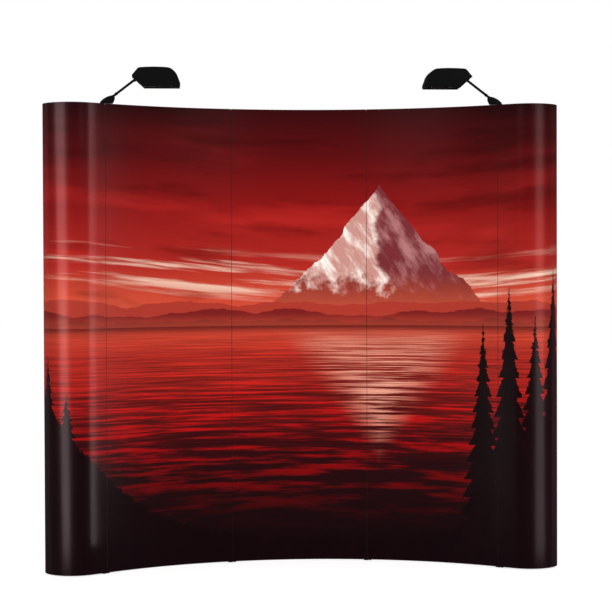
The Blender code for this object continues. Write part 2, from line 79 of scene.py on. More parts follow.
flat_columns = 4               # strips over the flat before the curl, and over a front panel's tape

# Frame
bays_wide = 3
rows_high = 3
frame_depth = 0.240
hub_size = 0.048
hub_thickness = 0.020
hub_corner = 0.008
pin_reach = 0.016
strut_diameter = 0.013
strut_washer = 0.001
tongue_thickness = 0.006
tongue_width = 0.010
swage_length = 0.016           # tube flattened towards its tongue
tube_squareness = 2.0          # power of a section's outline: 2 is round
tongue_squareness = 6.0
rivet_head_diameter = 0.0095
rivet_head_rise = 0.0022
rivet_sunk_share = 0.35        # of the head's rise, that sits in the strut
rivet_shank_share = 0.6        # of the head's diameter
notch_pin_diameter = 0.0026
notch_pin_bed = 0.003          # of a pin in each wall of its notch
bar_width = 0.036
bar_depth = 0.008
bar_wall = 0.0016
bar_round = 0.0012
bar_corner_share = 0.3         # of the rounding, from the bar's sides to the middle of its corner
bar_floor_gap = 0.004
bar_joint_gap = 0.0007
hub_edge_round = 0.0009
hub_boss_diameter = 0.018
hub_boss_rise = 0.0012
hub_boss_shoulder_share = 0.6          # of the ring's rise, where its two edges start to slope
hub_boss_slope_share = 0.06            # of its two radii
hub_hole_diameter = 0.010
hub_pocket_depth = 0.0022
hub_pocket_shares = (0.46, 0.80)       # of the hub's half, where a pocket starts and ends
hub_pocket_point_share = 0.86          # of the pocket's far edge, for its outer corner
hub_pocket_cut_share = 0.35            # of the hub's corner

# Corners round a turned piece
turned_sides = 24
pin_sides = 12
rivet_sides = 20               # also of screws and of the lamps' pins
arm_sides = 28
broad_sides = 32

# Steps over rounded and tapered stretches
tongue_steps = 6
swage_steps = 8
rivet_steps = 5
screw_steps = 4
pod_round_steps = 6
head_round_steps = 5

# Clearances
seat_gap = 0.0003
tongue_end_gap = 0.0005
cutter_overrun = 0.010

# Edges sharper than these are shaded sharp, or rounded
sharp_angle = radians(35)
round_angle = radians(30)

# Least sizes that keep the corners of a pointed end apart
tip_radius = 0.000001
tip_half_width = 0.00001

# Worked out from the sizes above
arc_radius = panel_width / bay_angle
hub_half = hub_size / 2
hub_face = hub_thickness / 2
print_depth = panel_sheet + tape_thickness
front_line = arc_radius + print_depth + seat_gap + bar_depth + hub_face
rear_line = front_line + frame_depth
end_depth = frame_depth + 2 * (print_depth + seat_gap + bar_depth) + hub_thickness
curl_radius = end_depth / 2
curl_length = pi * curl_radius
half_turn = bay_angle * bays_wide / 2
front_reach = panel_width * bays_wide / 2
strut_offset = (strut_diameter + strut_washer) / 2
notch_half = tongue_thickness / 2 + seat_gap
notch_floor = pin_reach - tongue_width / 2 - tongue_end_gap
tube_setback = hub_half - pin_reach + strut_diameter / 2 + tongue_end_gap


def level_reach():
    """How far a level strut spans between its two pins."""
    front = Vector((pin_reach, front_line))
    rear = Vector((-pin_reach, rear_line))
    return (Matrix.Rotation(-bay_angle, 2) @ rear - front).length


hub_pitch = sqrt(level_reach() ** 2 - frame_depth ** 2) + 2 * pin_reach
hub_heights = [hub_half + level * hub_pitch for level in range(rows_high + 1)]
hub_top = rows_high * hub_pitch + hub_size
panel_top = hub_top + panel_over_hub


def depth_of_arc_centre():
    """Y of the arc's centre, which puts the origin midway between the foremost and rearmost points."""
    foremost = (arc_radius * cos(half_turn) - end_straight * sin(half_turn)
                + curl_radius * cos(half_turn) - curl_radius)
    inner_turn = bay_angle * (bays_wide % 2) / 2
    rearmost = (rear_line + hub_face) * cos(inner_turn) + hub_half * sin(inner_turn)
    return -(foremost + rearmost) / 2


arc_centre_y = depth_of_arc_centre()


def line_angle(line):
    """Turn of a hub line from straight ahead. Line 0 is the left end."""
    return bay_angle * (line - bays_wide / 2)


def on_arc(radius, turn, height=0):
    return Vector((radius * sin(turn), arc_centre_y + radius * cos(turn), height))


# Colours and shader nodes

def tone(red, green, blue):
    """A screen colour of 0 to 255 as the linear colour that a shader takes."""
    shares = [level / 255 for level in (red, green, blue)]
    return (*[share / 12.92 if share <= 0.04045 else ((share + 0.055) / 1.055) ** 2.4
              for share in shares], 1)


def darker(colour, share):
    return tuple(level * share for level in colour[:3]) + (1,)


class Value:
    """A number, place or colour inside a material. Arithmetic and the methods add nodes that work on it."""

    def __init__(self, look, socket):
        self.look = look
        self.socket = socket

    def __add__(self, other):
        return self.look.math("ADD", self, other)

    def __sub__(self, other):
        return self.look.math("SUBTRACT", self, other)

    def __rsub__(self, other):
        return self.look.math("SUBTRACT", other, self)

    def __mul__(self, other):
        return self.look.math("MULTIPLY", self, other)

    def __truediv__(self, other):
        return self.look.math("DIVIDE", self, other)

    def __rtruediv__(self, other):
        return self.look.math("DIVIDE", other, self)

    def __pow__(self, power):
        return self.look.math("POWER", self, power)

    def __abs__(self):
        return self.look.math("ABSOLUTE", self)

    def at_least(self, other):
        return self.look.math("MAXIMUM", self, other)

    def step(self, low, high):
        """0 below low, 1 above high and smooth between them."""
        return self.look.add("MapRange", {0: self, 1: low, 2: high}, interpolation_type="SMOOTHSTEP")

    def spread(self, low, high):
        """Low at 0 and high at 1."""
        return self.look.add("MapRange", {0: self, 3: low, 4: high})

    def mix(self, first, second):
        """The first colour at 0 and the second one at 1."""
        return self.look.add("Mix", {0: self, 6: first, 7: second}, 2, data_type="RGBA")

    def tinted(self, way, colour):
        return self.look.add("Mix", {0: 1.0, 6: self, 7: colour}, 2, data_type="RGBA", blend_type=way)

    def ramp(self, *stops):
        """A colour that follows the stops, each a position and a screen colour."""
        ramp = self.look.add("ValToRGB", {0: self})
        points = ramp.socket.node.color_ramp.elements
        while len(points) < len(stops):
            points.new(1)
        for point, (position, *colour) in zip(points, stops):
            point.position = position
            point.color = tone(*colour)
        return ramp

    def noise(self, scale, detail=2.0, roughness=0.5):
        return self.look.add("TexNoise",
                             {"Vector": self, "Scale": scale, "Detail": detail, "Roughness": roughness})

    def bump(self, distance, strength=0.5, **onto):
        return self.look.add("Bump", {"Height": self, "Distance": distance, "Strength": strength, **onto})

    def split(self):
        x = self.look.add("SeparateXYZ", {0: self})
        return x, Value(self.look, x.socket.node.outputs[1])


class Look:
    """The node tree of one material or of the world."""

    def __init__(self, owner, shader="Principled BSDF"):
        owner.use_nodes = True
        self.owner = owner
        self.nodes = owner.node_tree.nodes
        self.links = owner.node_tree.links
        self.shader = self.nodes[shader]

    def feed(self, socket, value):
        if isinstance(value, Value):
            self.links.new(value.socket, socket)
        else:
            socket.default_value = value

    def add(self, kind, values, result=0, **settings):
        """Adds a node, sets its options, feeds its inputs by name or number, and returns one output."""
        node = self.nodes.new(f"ShaderNode{kind}")
        for name, setting in settings.items():
            setattr(node, name, setting)
        for name, value in values.items():
            self.feed(node.inputs[name], value)
        return Value(self, node.outputs[result])

    def set(self, **values):
        """Feeds the shader, and returns the material. Underscores in a name stand for spaces."""
        for name, value in values.items():
            self.feed(self.shader.inputs[name.replace("_", " ")], value)
        return self.owner

    def math(self, operation, first, second=0.0):
        return self.add("Math", {0: first, 1: second}, operation=operation)

    def join(self, x, y, z=0.0):
        return self.add("CombineXYZ", {0: x, 1: y, 2: z})

    def place(self):
        """The point's own place on the object at rest."""
        return self.add("TexCoord", {}, "Object")

    def kept(self, name):
        """A place that is stored on the mesh."""
        return self.add("Attribute", {}, "Vector", attribute_name=name)

    def slant(self):
        """0 where the surface is seen square on, and 1 where it is seen edge on."""
        return self.add("LayerWeight", {"Blend": 0.5}, "Facing")

    def duller_at_slant(self, roughness):
        """The roughness given, which rises to nearly matt where the surface is seen at a slant."""
        return (self.slant().step(slant_start, slant_end) * slant_roughness).at_least(roughness)

    def seen_directly(self):
        """1 to the camera, in gloss and through glass, and 0 as light."""
        camera, gloss, glass = (self.add("LightPath", {}, name)
                                for name in ("Is Camera Ray", "Is Glossy Ray", "Is Transmission Ray"))
        return camera.at_least(gloss).at_least(glass)


# Materials

slant_start = 0.33             # slant, from 0 to 1, at which coats and prints begin to dull
slant_end = 0.60
slant_roughness = 0.92
glass_index = 1.46


def new_look(name):
    return Look(bpy.data.materials.new(name))


def mottled(look, mottle, dark, light, smooth, rough, normal, **fixed):
    """Sets a shader whose colour and roughness both follow one mottle."""
    return look.set(Base_Color=mottle.mix(dark, light), Roughness=mottle.spread(smooth, rough),
                    Normal=normal, **fixed)


def moulded_plastic(name, colour, roughness, grain=900.0, shine=0.5):
    """Fine-grained moulded plastic with slightly uneven gloss."""
    look = new_look(name)
    place = look.place()
    return mottled(look, place.noise(14.0, 3.0), darker(colour, 0.82), colour, roughness - 0.06,
                   roughness + 0.06, place.noise(grain).bump(0.00012), Specular_IOR_Level=shine)


def drawn_metal(name, colour, roughness, along_scale, across_scale):
    """Extruded or drawn metal: fine lines along the length that is stored on the mesh."""
    look = new_look(name)
    along, across = look.kept("drawn_place").split()
    lines = look.join(along * along_scale, across * across_scale).noise(1.0, 4.0, 0.6)
    cloud = look.place().noise(9.0, 3.0)
    return look.set(Base_Color=(lines * cloud.spread(0.7, 1.3)).mix(darker(colour, 0.72), colour),
                    Roughness=lines.spread(roughness - 0.09, roughness + 0.10),
                    Normal=lines.bump(0.00008, 0.6), Metallic=1.0)


def plain_metal(name, colour, roughness):
    look = new_look(name)
    place = look.place()
    return mottled(look, place.noise(120.0, 4.0), darker(colour, 0.8), colour, roughness - 0.08,
                   roughness + 0.08, place.noise(700.0).bump(0.00006), Metallic=1.0)


def powder_coat(name, colour, roughness):
    """Baked paint with a fine orange peel."""
    look = new_look(name)
    place = look.place()
    cloud = place.noise(20.0)
    return look.set(Base_Color=cloud.mix(darker(colour, 0.85), colour),
                    Roughness=look.duller_at_slant(cloud.spread(roughness - 0.05, roughness + 0.05)),
                    Normal=place.noise(520.0, 1.0).bump(0.00018, 0.6), Specular_IOR_Level=0.03)


def film_back():
    """The grey back of the print, with a faint fleece in it."""
    look = new_look("film_back")
    place = look.place()
    fleece = place.noise(260.0, 4.0, 0.65)
    low = place.noise(3.0, 3.0).mix(tone(176, 176, 174), tone(190, 190, 187))
    return mottled(look, fleece, low, tone(203, 203, 200), 0.6, 0.75, fleece.bump(0.0001))


def magnet_tape():
    look = new_look("magnet_tape")
    grain = look.place().noise(800.0, 3.0)
    return mottled(look, grain, tone(38, 33, 30), tone(58, 51, 46), 0.55, 0.7, grain.bump(0.0001, 0.4))


def clear_glass(name, tint, roughness, edge_share=1.0):
    """Clear glass. A low edge share is a glare coat, which takes the gloss away at a slant."""
    look = new_look(name)
    smudge = look.place().noise(60.0, 3.0)
    if edge_share < 1:
        look.set(Alpha=look.slant().spread(1.0, edge_share))
    return look.set(Base_Color=tint, Roughness=smudge.spread(roughness, roughness + 0.05),
                    Normal=smudge.bump(0.00002, 0.3), Transmission_Weight=1.0, IOR=glass_index)


# The printed picture: dusk over a lake. Across is measured along the panels from the middle of
# the display, and up from the floor, both in metres.

picture_horizon = 1.17
peak_across = 0.40
peak_top = 1.87
peak_half_width = 0.66
lit_split = 0.05               # the ridge that parts the lit side from the shaded one, right of the summit
trees = ((0.93, 1.18, 0.105), (1.07, 1.36, 0.130), (1.20, 1.22, 0.115), (1.31, 1.45, 0.140),
         (1.46, 1.27, 0.125), (-1.22, 0.86, 0.10), (-1.33, 1.04, 0.12), (-1.47, 0.90, 0.11))
tree_foot = 0.42
trunk_half_width = 0.004


def sky_colours(look, across, up):
    """A red dusk sky: dark at the top, glowing over the horizon, with long wisps of cloud."""
    base = (up / 2.3).ramp((0.50, 226, 112, 76), (0.56, 206, 78, 54), (0.64, 170, 38, 32),
                           (0.76, 134, 20, 20), (0.87, 88, 12, 15), (0.97, 52, 9, 12))
    level = up + look.math("SINE", across * 1.5 + 0.9) * 0.07
    flow = look.join(across * 0.75, level * 4.6, 3.7)
    high = (2.25 - up).step(0.05, 0.60) * 0.5
    sky = (flow.noise(1.3, 5.0, 0.55).step(0.46, 0.66) * high).mix(base, tone(188, 40, 34))
    dark = flow.noise(2.1, 4.0).step(0.50, 0.70) * 0.5
    sky = dark.mix(sky, sky.tinted("MULTIPLY", tone(150, 120, 120)))
    low = 1.0 - abs(level - 1.44).step(0.02, 0.17)
    thin = look.join(across * 0.55, level * 11.0, 9.2).noise(1.6, 6.0, 0.6)
    return (thin.step(0.50, 0.68) * low * 0.85).mix(sky, tone(248, 214, 190))


def below(up, line, softness=0.004):
    return (line - up).step(0.0, softness)


def add_peak(look, sky, across, up):
    """One tall pale peak with a lit side, a shaded side and hazy feet."""
    offset = across - peak_across
    away = abs(offset) / peak_half_width
    crag = look.join(across, up * 0.6, 5.1).noise(5.0, 8.0, 0.62)
    slope = away ** 0.85 * (peak_top - picture_horizon)
    line = peak_top - slope + (crag - 0.5) * away.spread(0.10, 0.30)
    bend = (look.join(3.3, up).noise(6.0, 6.0) - 0.5) * 0.26
    drop = (peak_top - up) * 0.16 - lit_split
    side = (offset - (bend + drop)).step(-0.012, 0.02)
    gully = look.join(across * 2.2 + up * 1.1, up, 2.4).noise(5.5, 8.0, 0.66)
    lit = gully.step(0.40, 0.62).mix(tone(196, 140, 130), tone(250, 238, 228))
    shade = gully.step(0.42, 0.66).mix(tone(116, 44, 50), tone(176, 116, 116))
    rock = gully.mix(tone(86, 24, 28), tone(150, 58, 50))
    bare = (1.50 - up) * 2.4 + (look.join(across, up, 7.7).noise(14.0, 6.0, 0.6) - 0.5)
    face = bare.step(0.18, 0.42).mix(side.mix(lit, shade), rock)
    haze = (1.46 - up).step(0.0, 0.30) * 0.85
    return below(up, line).mix(sky, haze.mix(face, tone(206, 88, 62)))


def add_ridges(look, picture, across, up):
    """Three lines of hills, darker and sharper as they come nearer."""
    for base, rise, scale, seed, colour in ((1.285, 0.20, 2.0, 1.0, tone(170, 56, 44)),
                                            (1.235, 0.15, 3.1, 4.0, tone(120, 30, 30)),
                                            (1.195, 0.10, 5.5, 8.0, tone(70, 17, 22))):
        line = (look.join(across, seed).noise(scale, 6.0) - 0.5) * rise + base
        mist = (picture_horizon + 0.07 - up).step(0.0, 0.07) * 0.5
        picture = below(up, line).mix(picture, mist.mix(colour, tone(196, 76, 56)))
    return picture


def lake_colours(look, across, up):
    """Still water that repeats the glow and the peak in broken level streaks."""
    base = (up / picture_horizon).ramp((0.0, 18, 7, 10), (0.20, 25, 8, 11), (0.40, 40, 10, 13),
                                       (0.52, 66, 12, 15), (0.70, 112, 22, 21), (0.88, 160, 42, 33),
                                       (1.0, 196, 70, 50))
    depth = picture_horizon - up
    stretch = 1.0 / (depth * 0.9 + 0.06)
    ripple = look.join(across * 1.1, up * (stretch * 6.0), 2.0).noise(2.2, 5.0, 0.6)
    shine = ripple.step(0.47, 0.66) * (up.step(0.15, 0.85) * 0.5)
    water = shine.mix(base, base.tinted("DODGE", tone(255, 170, 150)))
    water = (ripple.step(0.50, 0.32) * 0.6).mix(water, tone(34, 8, 12))
    narrow = (1.0 - depth / 0.62) * 0.50
    column = (narrow - abs(across - peak_across)).step(-0.06, 0.22)
    glint = column * ripple.step(0.45, 0.60) * 0.8 * depth.step(0.0, 0.10)
    water = glint.mix(water, tone(240, 176, 150))
    return ((0.05 - depth).step(0.0, 0.05) * 0.8).mix(water, tone(62, 15, 20))


def add_trees(look, picture, across, up):
    """Dark conifers on both banks, and the low banks that they stand on."""
    hill = (abs(across - 0.15) * 0.78) ** 3.0 * 0.46
    tufts = look.join(across * 9.0, 0.7).noise(4.0, 6.0, 0.7)
    shade = below(up, hill + 0.06 + tufts * 0.13, 0.01)
    for centre, top, half_width in trees:
        fall = (top - up) / (top - tree_foot)
        tiers = look.math("FRACT", fall.at_least(0.0) ** 0.8 * 11.0)
        fringe = look.join(across, up, centre).noise(55.0, 3.0, 0.7)
        reach = fall * (tiers * 0.42 + 0.58) * half_width + (fringe - 0.5) * 0.035
        inside = (reach.at_least(trunk_half_width) - abs(across - centre)).step(0.0, 0.004)
        shade = shade.at_least(inside * fall.step(0.0, 0.01))
    depth = look.join(across * 2.0, up, 6.0).noise(6.0, 5.0)
    return shade.mix(picture, depth.mix(tone(9, 3, 5), tone(26, 7, 10)))


def printed_film():
    look = new_look("printed_film")
    across, up = look.kept("print_place").split()
    picture = sky_colours(look, across, up)
    picture = add_peak(look, picture, across, up)
    picture = add_ridges(look, picture, across, up)
    picture = (picture_horizon - up).step(0.0, 0.003).mix(picture, lake_colours(look, across, up))
    picture = add_trees(look, picture, across, up)
    corner = ((across / 1.55) ** 2.0 + ((up - 1.25) / 1.3) ** 2.0).step(0.35, 1.55)
    place = look.place()
    wave = look.join(across, up * 0.22).noise(9.0).bump(0.0016, 0.35)
    return look.set(Base_Color=(corner * 0.72).mix(picture, tone(18, 5, 8)),
                    Roughness=look.duller_at_slant(place.noise(4.0, 3.0).spread(0.24, 0.32)),
                    Normal=place.noise(1400.0).bump(0.00005, 0.35, Normal=wave),
                    Specular_IOR_Level=0.015)


# Mesh making. A shape is its points, its faces, the number of its look and, for drawn metal, its
# places along and across the length.

def linked(name, data):
    thing = bpy.data.objects.new(name, data)
    bpy.context.scene.collection.objects.link(thing)
    return thing


def new_mesh(name, points, faces, numbers, looks, **stored):
    """A mesh whose faces take their looks by number. It keeps stored places under their titles."""
    mesh = bpy.data.meshes.new(name)
    mesh.from_pydata(points, [], faces)
    for look in looks:
        mesh.materials.append(look)
    mesh.polygons.foreach_set("material_index", numbers)
    for title, places in stored.items():
        layer = mesh.attributes.new(title, "FLOAT_VECTOR", "POINT")
        for item, place in zip(layer.data, places):
            item.vector = place
    mesh.shade_smooth()
    mesh.set_sharp_from_angle(angle=sharp_angle)
    return mesh


def joined_mesh(name, shapes, looks):
    """One mesh from several shapes."""
    points, faces, numbers, places = [], [], [], []
    for corners, outlines, number, *drawn in shapes:
        faces += [[corner + len(points) for corner in outline] for outline in outlines]
        numbers += [number] * len(outlines)
        places += drawn[0] if drawn else [(0, 0, 0)] * len(corners)
        points += corners
    stored = {"drawn_place": places} if any(len(shape) > 3 for shape in shapes) else {}
    return new_mesh(name, points, faces, numbers, looks, **stored)


def mesh_shape(mesh):
    points = [vertex.co.copy() for vertex in mesh.vertices]
    return points, [tuple(face.vertices) for face in mesh.polygons], 0


def placed(shape, matrix):
    points, *rest = shape
    return ([matrix @ point for point in points], *rest)


def evenly(low, high, steps):
    return [low + (high - low) * step / steps for step in range(steps + 1)]


def lofted(rings, look=0):
    """A closed shape through rings of equal count."""
    count = len(rings[0])
    faces = []
    for start in range(0, count * (len(rings) - 1), count):
        for index in range(count):
            a, b = start + index, start + (index + 1) % count
            faces.append((a, b, b + count, a + count))
    faces.append(tuple(range(count))[::-1])
    faces.append(tuple(range((len(rings) - 1) * count, len(rings) * count)))
    return [point for ring in rings for point in ring], faces, look


def revolved(profile, start, axis, sides=turned_sides, look=0):
    """A shape turned about an axis. The profile gives distances along the axis and radii."""
    start = Vector(start)
    axis = Vector(axis).normalized()
    first = axis.orthogonal().normalized()
    second = axis.cross(first)
    rings = []
    for distance, radius in profile:
        ring = []
        for side in range(sides):
            angle = 2 * pi * side / sides
            way = first * cos(angle) + second * sin(angle)
            ring.append(start + axis * distance + way * max(radius, tip_radius))
        rings.append(ring)
    return lofted(rings, look)


def rod(half, radius, middle, axis, sides=turned_sides, look=0):
    """A plain round rod that reaches half its length to each side of its middle."""
    return revolved(((-half, radius), (half, radius)), middle, axis, sides, look)


def extruded(outline, low, high, matrix=Matrix.Identity(4)):
    """An outline in X and Y, extruded along Z and then placed."""
    return lofted([[matrix @ Vector((x, y, height)) for x, y in outline] for height in (low, high)])


def box_shape(low, high, matrix=Matrix.Identity(4)):
    outline = ((low[0], low[1]), (high[0], low[1]), (high[0], high[1]), (low[0], high[1]))
    return extruded(outline, low[2], high[2], matrix)


def dome(rise, radius, steps, fullness=1.0):
    """The profile of a round head from its rim to its top. A fullness under 1 makes it flatter."""
    return [(rise * sin(angle), radius * cos(angle) ** fullness)
            for angle in evenly(0, pi / 2, steps)]


def face_outwards(mesh, rounding=0.0):
    """Turns all faces outwards, and rounds all edges if a width is given."""
    shape = bmesh.new()
    shape.from_mesh(mesh)
    bmesh.ops.recalc_face_normals(shape, faces=shape.faces)
    if rounding:
        bmesh.ops.bevel(shape, geom=shape.edges[:], offset=rounding, segments=2, profile=0.5, affect="EDGES")
    shape.to_mesh(mesh)
    shape.free()


def cut_shape(mesh, cutters):
    """The mesh as a shape, with closed shapes cut out of it by exact Booleans."""
    face_outwards(mesh)
    base = linked("cut_base", mesh)
    helpers = [base]
    for points, faces, _ in cutters:
        tool = bpy.data.meshes.new("cut_tool")
        tool.from_pydata(points, [], faces)
        face_outwards(tool)
        helpers.append(linked("cut_tool", tool))
        modifier = base.modifiers.new("cut", "BOOLEAN")
        modifier.solver = "EXACT"
        modifier.operation = "DIFFERENCE"
        modifier.object = helpers[-1]
    bpy.context.view_layer.update()
    graph = bpy.context.evaluated_depsgraph_get()
    result = bpy.data.meshes.new_from_object(base.evaluated_get(graph))
    for helper in helpers:
        bpy.data.objects.remove(helper, do_unlink=True)
    return mesh_shape(result)


def soften(piece, width):
    """Rounds the sharp edges of a piece."""
    rounding = piece.modifiers.new("edge_round", "BEVEL")
    rounding.width = width
    rounding.segments = 2
    rounding.limit_method = "ANGLE"
    rounding.angle_limit = round_angle


def add_piece(name, mesh, body, nodes=(), place=(0, 0, 0), turn=0.0):
    """Adds one visible piece that rides on a body and stands for some of the frame's nodes."""
    piece = linked(name, mesh)
    piece.location = place
    piece.rotation_euler = (0, 0, turn)
    bpy.context.view_layer.update()
    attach(piece, body)
    if nodes:
        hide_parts(*nodes)
    return piece


def add_to_frame(name, mesh, nodes, line, radius, height=0):
    """Adds a piece of the frame on a hub line, or between two of them."""
    turn = line_angle(line)
    add_piece(name, mesh, "frame", nodes, on_arc(radius, turn, height), -turn)


# Printed panels

def panel_line(across, inset):
    """A point of the panels seen from above: across along their face, and inset behind it."""
    if abs(across) < front_reach:
        return on_arc(arc_radius + inset, across / arc_radius).xy
    side = copysign(1, across)
    distance = abs(across) - front_reach
    reach = curl_radius - inset
    if distance < end_straight:
        x, y = distance, inset
    elif distance < end_straight + curl_length:
        angle = (distance - end_straight) / curl_radius
        x, y = end_straight + reach * sin(angle), curl_radius - reach * cos(angle)
    else:
        x, y = 2 * end_straight + curl_length - distance, end_depth - inset
    turn = side * half_turn
    return on_arc(arc_radius, turn).xy + Matrix.Rotation(-turn, 2) @ Vector((side * x, y))


def add_sheet(name, body, nodes, stops, insets, heights, looks, printed=False):
    """Adds a sheet that stands on end along the panels' line. Its looks are front, back and edge."""
    near, far = insets
    low, high = heights
    corners = ((near, high), (near, low), (far, low), (far, high))
    rings = [[(*panel_line(stop, inset), height) for inset, height in corners] for stop in stops]
    points, faces, _ = lofted(rings)
    numbers = [0, 2, 1, 2] * (len(stops) - 1) + [2, 2]
    stored = {}
    if printed:
        stored["print_place"] = [(stop, height, 0) for stop in stops for _, height in corners]
    return add_piece(name, new_mesh(name, points, faces, numbers, looks, **stored), body, nodes)


def add_panel(name, body, stops, hands, tape_steps, looks, tape_look):
    """Adds a printed panel, with magnetic tape down its two edges. Hands names the edges."""
    heights = (panel_floor_gap, panel_top)
    add_sheet(f"print_{name}", body, [body], stops, (0, panel_sheet), heights, looks, True)
    for hand, edge, inward in sorted(zip(hands, (stops[0], stops[-1]), (1, -1))):
        strip = sorted((edge + inward * tape_margin, edge + inward * (tape_margin + tape_width)))
        add_sheet(f"tape_{name}_{hand}", body, [], evenly(*strip, tape_steps),
                  (panel_sheet, print_depth), heights, (tape_look,) * 3)


def add_panels(looks, tape_look, rail_look):
    """Adds the three front panels with their top rails, and the two end panels."""
    half = (panel_width - seam_gap) / 2
    rail_half = panel_width / 2 - bar_width / 2 - rail_bar_gap
    rail_back = panel_sheet + seat_gap
    rail_top = panel_top - rail_drop
    for bay, word in enumerate(("left", "centre", "right")):
        middle = panel_width * (bay - (bays_wide - 1) / 2)
        body = f"front_panel_{word}"
        stops = evenly(middle - half, middle + half, panel_columns)
        add_panel(f"front_{word}", body, stops, ("left", "right"), flat_columns, looks, tape_look)
        stops = evenly(middle - rail_half, middle + rail_half, panel_columns)
        rail = add_sheet(f"rail_{word}", body, [f"front_panel_{word}_top_rail"], stops,
                         (rail_back, rail_back + rail_thickness), (rail_top - rail_height, rail_top),
                         (rail_look,) * 3)
        soften(rail, rail_thickness / 4)
    curl_end = end_straight + curl_length
    distances = evenly(seam_gap / 2, end_straight, flat_columns)
    distances += evenly(end_straight, curl_end, curl_columns)[1:] + [curl_end + end_straight + rear_lap]
    for side, word, hands in ((-1, "left", ("rear", "front")), (1, "right", ("front", "rear"))):
        stops = sorted(side * (front_reach + distance) for distance in distances)
        add_panel(f"end_{word}", f"end_panel_{word}", stops, hands, 1, looks, tape_look)


# Hubs and channel bars

upright = Matrix(((1, 0, 0, 0), (0, 0, -1, 0), (0, 1, 0, 0), (0, 0, 0, 1)))
quarter_turns = [Matrix.Rotation(quarter * pi / 2, 4, "Y") for quarter in range(4)]


def hub_outline(hand):
    """The pinwheel outline with its four offset notches. Hand is 1 for a front hub, -1 for a rear one."""
    low, high = hand * strut_offset - notch_half, hand * strut_offset + notch_half
    side = ((hub_half, hub_corner - hub_half), (hub_half, low), (notch_floor, low), (notch_floor, high),
            (hub_half, high), (hub_half, hub_half - hub_corner))
    turns = [Matrix.Rotation(quarter * pi / 2, 2) for quarter in range(4)]
    return [tuple(turn @ Vector(point)) for turn in turns for point in side]


def hub_body(hand, look):
    """A moulded hub: softened edges, a through hole and four shallow pockets in each broad face."""
    mesh = joined_mesh("hub", [extruded(hub_outline(hand), -hub_face, hub_face, upright)], (look,))
    face_outwards(mesh, hub_edge_round)
    cutters = [rod(hub_thickness, hub_hole_diameter / 2, (0, 0, 0), (0, 1, 0))]
    low, high = (hub_half * share for share in hub_pocket_shares)
    cut, point = hub_corner * hub_pocket_cut_share, high * hub_pocket_point_share
    pocket = ((low, low), (high - cut, low), (high, low + cut), (point, point), (low + cut, high),
              (low, high - cut))
    for spin in quarter_turns:
        for face in (-hub_face, hub_face):
            place = spin @ Matrix.Translation((0, face, 0)) @ upright
            cutters.append(extruded(pocket, -hub_pocket_depth, hub_pocket_depth, place))
    return cut_shape(mesh, cutters)


def hub_shapes(hand, look):
    """A hub's body, the raised ring round its hole and the pins across its notches."""
    outer, inner, rise = hub_boss_diameter / 2, hub_hole_diameter / 2, hub_boss_rise
    shoulder = rise * hub_boss_shoulder_share
    ring = ((-rise / 2, inner), (-rise / 2, outer), (shoulder, outer),
            (rise, outer * (1 - hub_boss_slope_share)), (rise, inner * (1 + hub_boss_slope_share)),
            (shoulder, inner), (-rise / 2, inner))
    points, faces, _ = revolved(ring, (0, hand * hub_face, 0), (0, hand, 0), broad_sides)
    pin = rod(notch_half + notch_pin_bed, notch_pin_diameter / 2, (pin_reach, 0, hand * strut_offset),
              (0, 0, 1), pin_sides, 1)
    return [hub_body(hand, look), (points, faces[:-2], 0)] + [placed(pin, spin) for spin in quarter_turns]


def bar_shapes(side):
    """One line's channel bars, end to end, with their webs outermost. Side is -1 in front and 1 behind."""
    outer, inner = bar_width / 2, bar_width / 2 - bar_wall
    root, web = side * hub_face, side * (hub_face + bar_depth)
    hollow = web - side * bar_wall
    rounding = side * bar_round
    half = [(outer - bar_round, web),
            (outer - bar_round * bar_corner_share, web - rounding * bar_corner_share),
            (outer, web - rounding), (outer, root), (inner, root), (inner, hollow)]
    outline = ([(-x, y) for x, y in half[::-1]] + half)[::-side]
    stops = [bar_floor_gap] + hub_heights[1:-1] + [hub_top]
    shapes = []
    for low, high in zip(stops, stops[1:]):
        low += bar_joint_gap / 2 if low > bar_floor_gap else 0
        high -= bar_joint_gap / 2 if high < hub_top else 0
        points, faces, look = extruded(outline, low, high)
        shapes.append((points, faces, look, [(point.z, point.x + point.y, 0) for point in points]))
    return shapes


def add_columns(bar_look, hub_look, pin_look):
    """Adds the bars with their hubs, and the rear hubs that have no bar."""
    hubs = {hand: hub_shapes(hand, hub_look) for hand in (1, -1)}
    ends = [("front", -1, line, f"front_column_{line + 1}") for line in range(bays_wide + 1)]
    ends += [("rear", 1, 0, "rear_column_left"), ("rear", 1, bays_wide, "rear_column_right")]
    for word, side, line, node in ends:
        radius = front_line if side < 0 else rear_line
        mesh = joined_mesh("bars", bar_shapes(side), (bar_look,))
        add_to_frame(f"bars_{word}_{line + 1}", mesh, [node], line, radius)
        shapes = [placed(shape, Matrix.Translation((0, 0, height)))
                  for height in hub_heights for shape in hubs[-side]]
        mesh = joined_mesh("hubs", shapes, (hub_look, pin_look))
        add_to_frame(f"hubs_{word}_{line + 1}", mesh, [], line, radius)
    for line in range(1, bays_wide):
        for level, height in enumerate(hub_heights):
            mesh = joined_mesh("hub", hubs[-1], (hub_look, pin_look))
            add_to_frame(f"hub_rear_{line + 1}_{level + 1}", mesh,
                         [f"rear_hub_line{line + 1}_level{level + 1}"], line, rear_line, height)


# Scissor struts

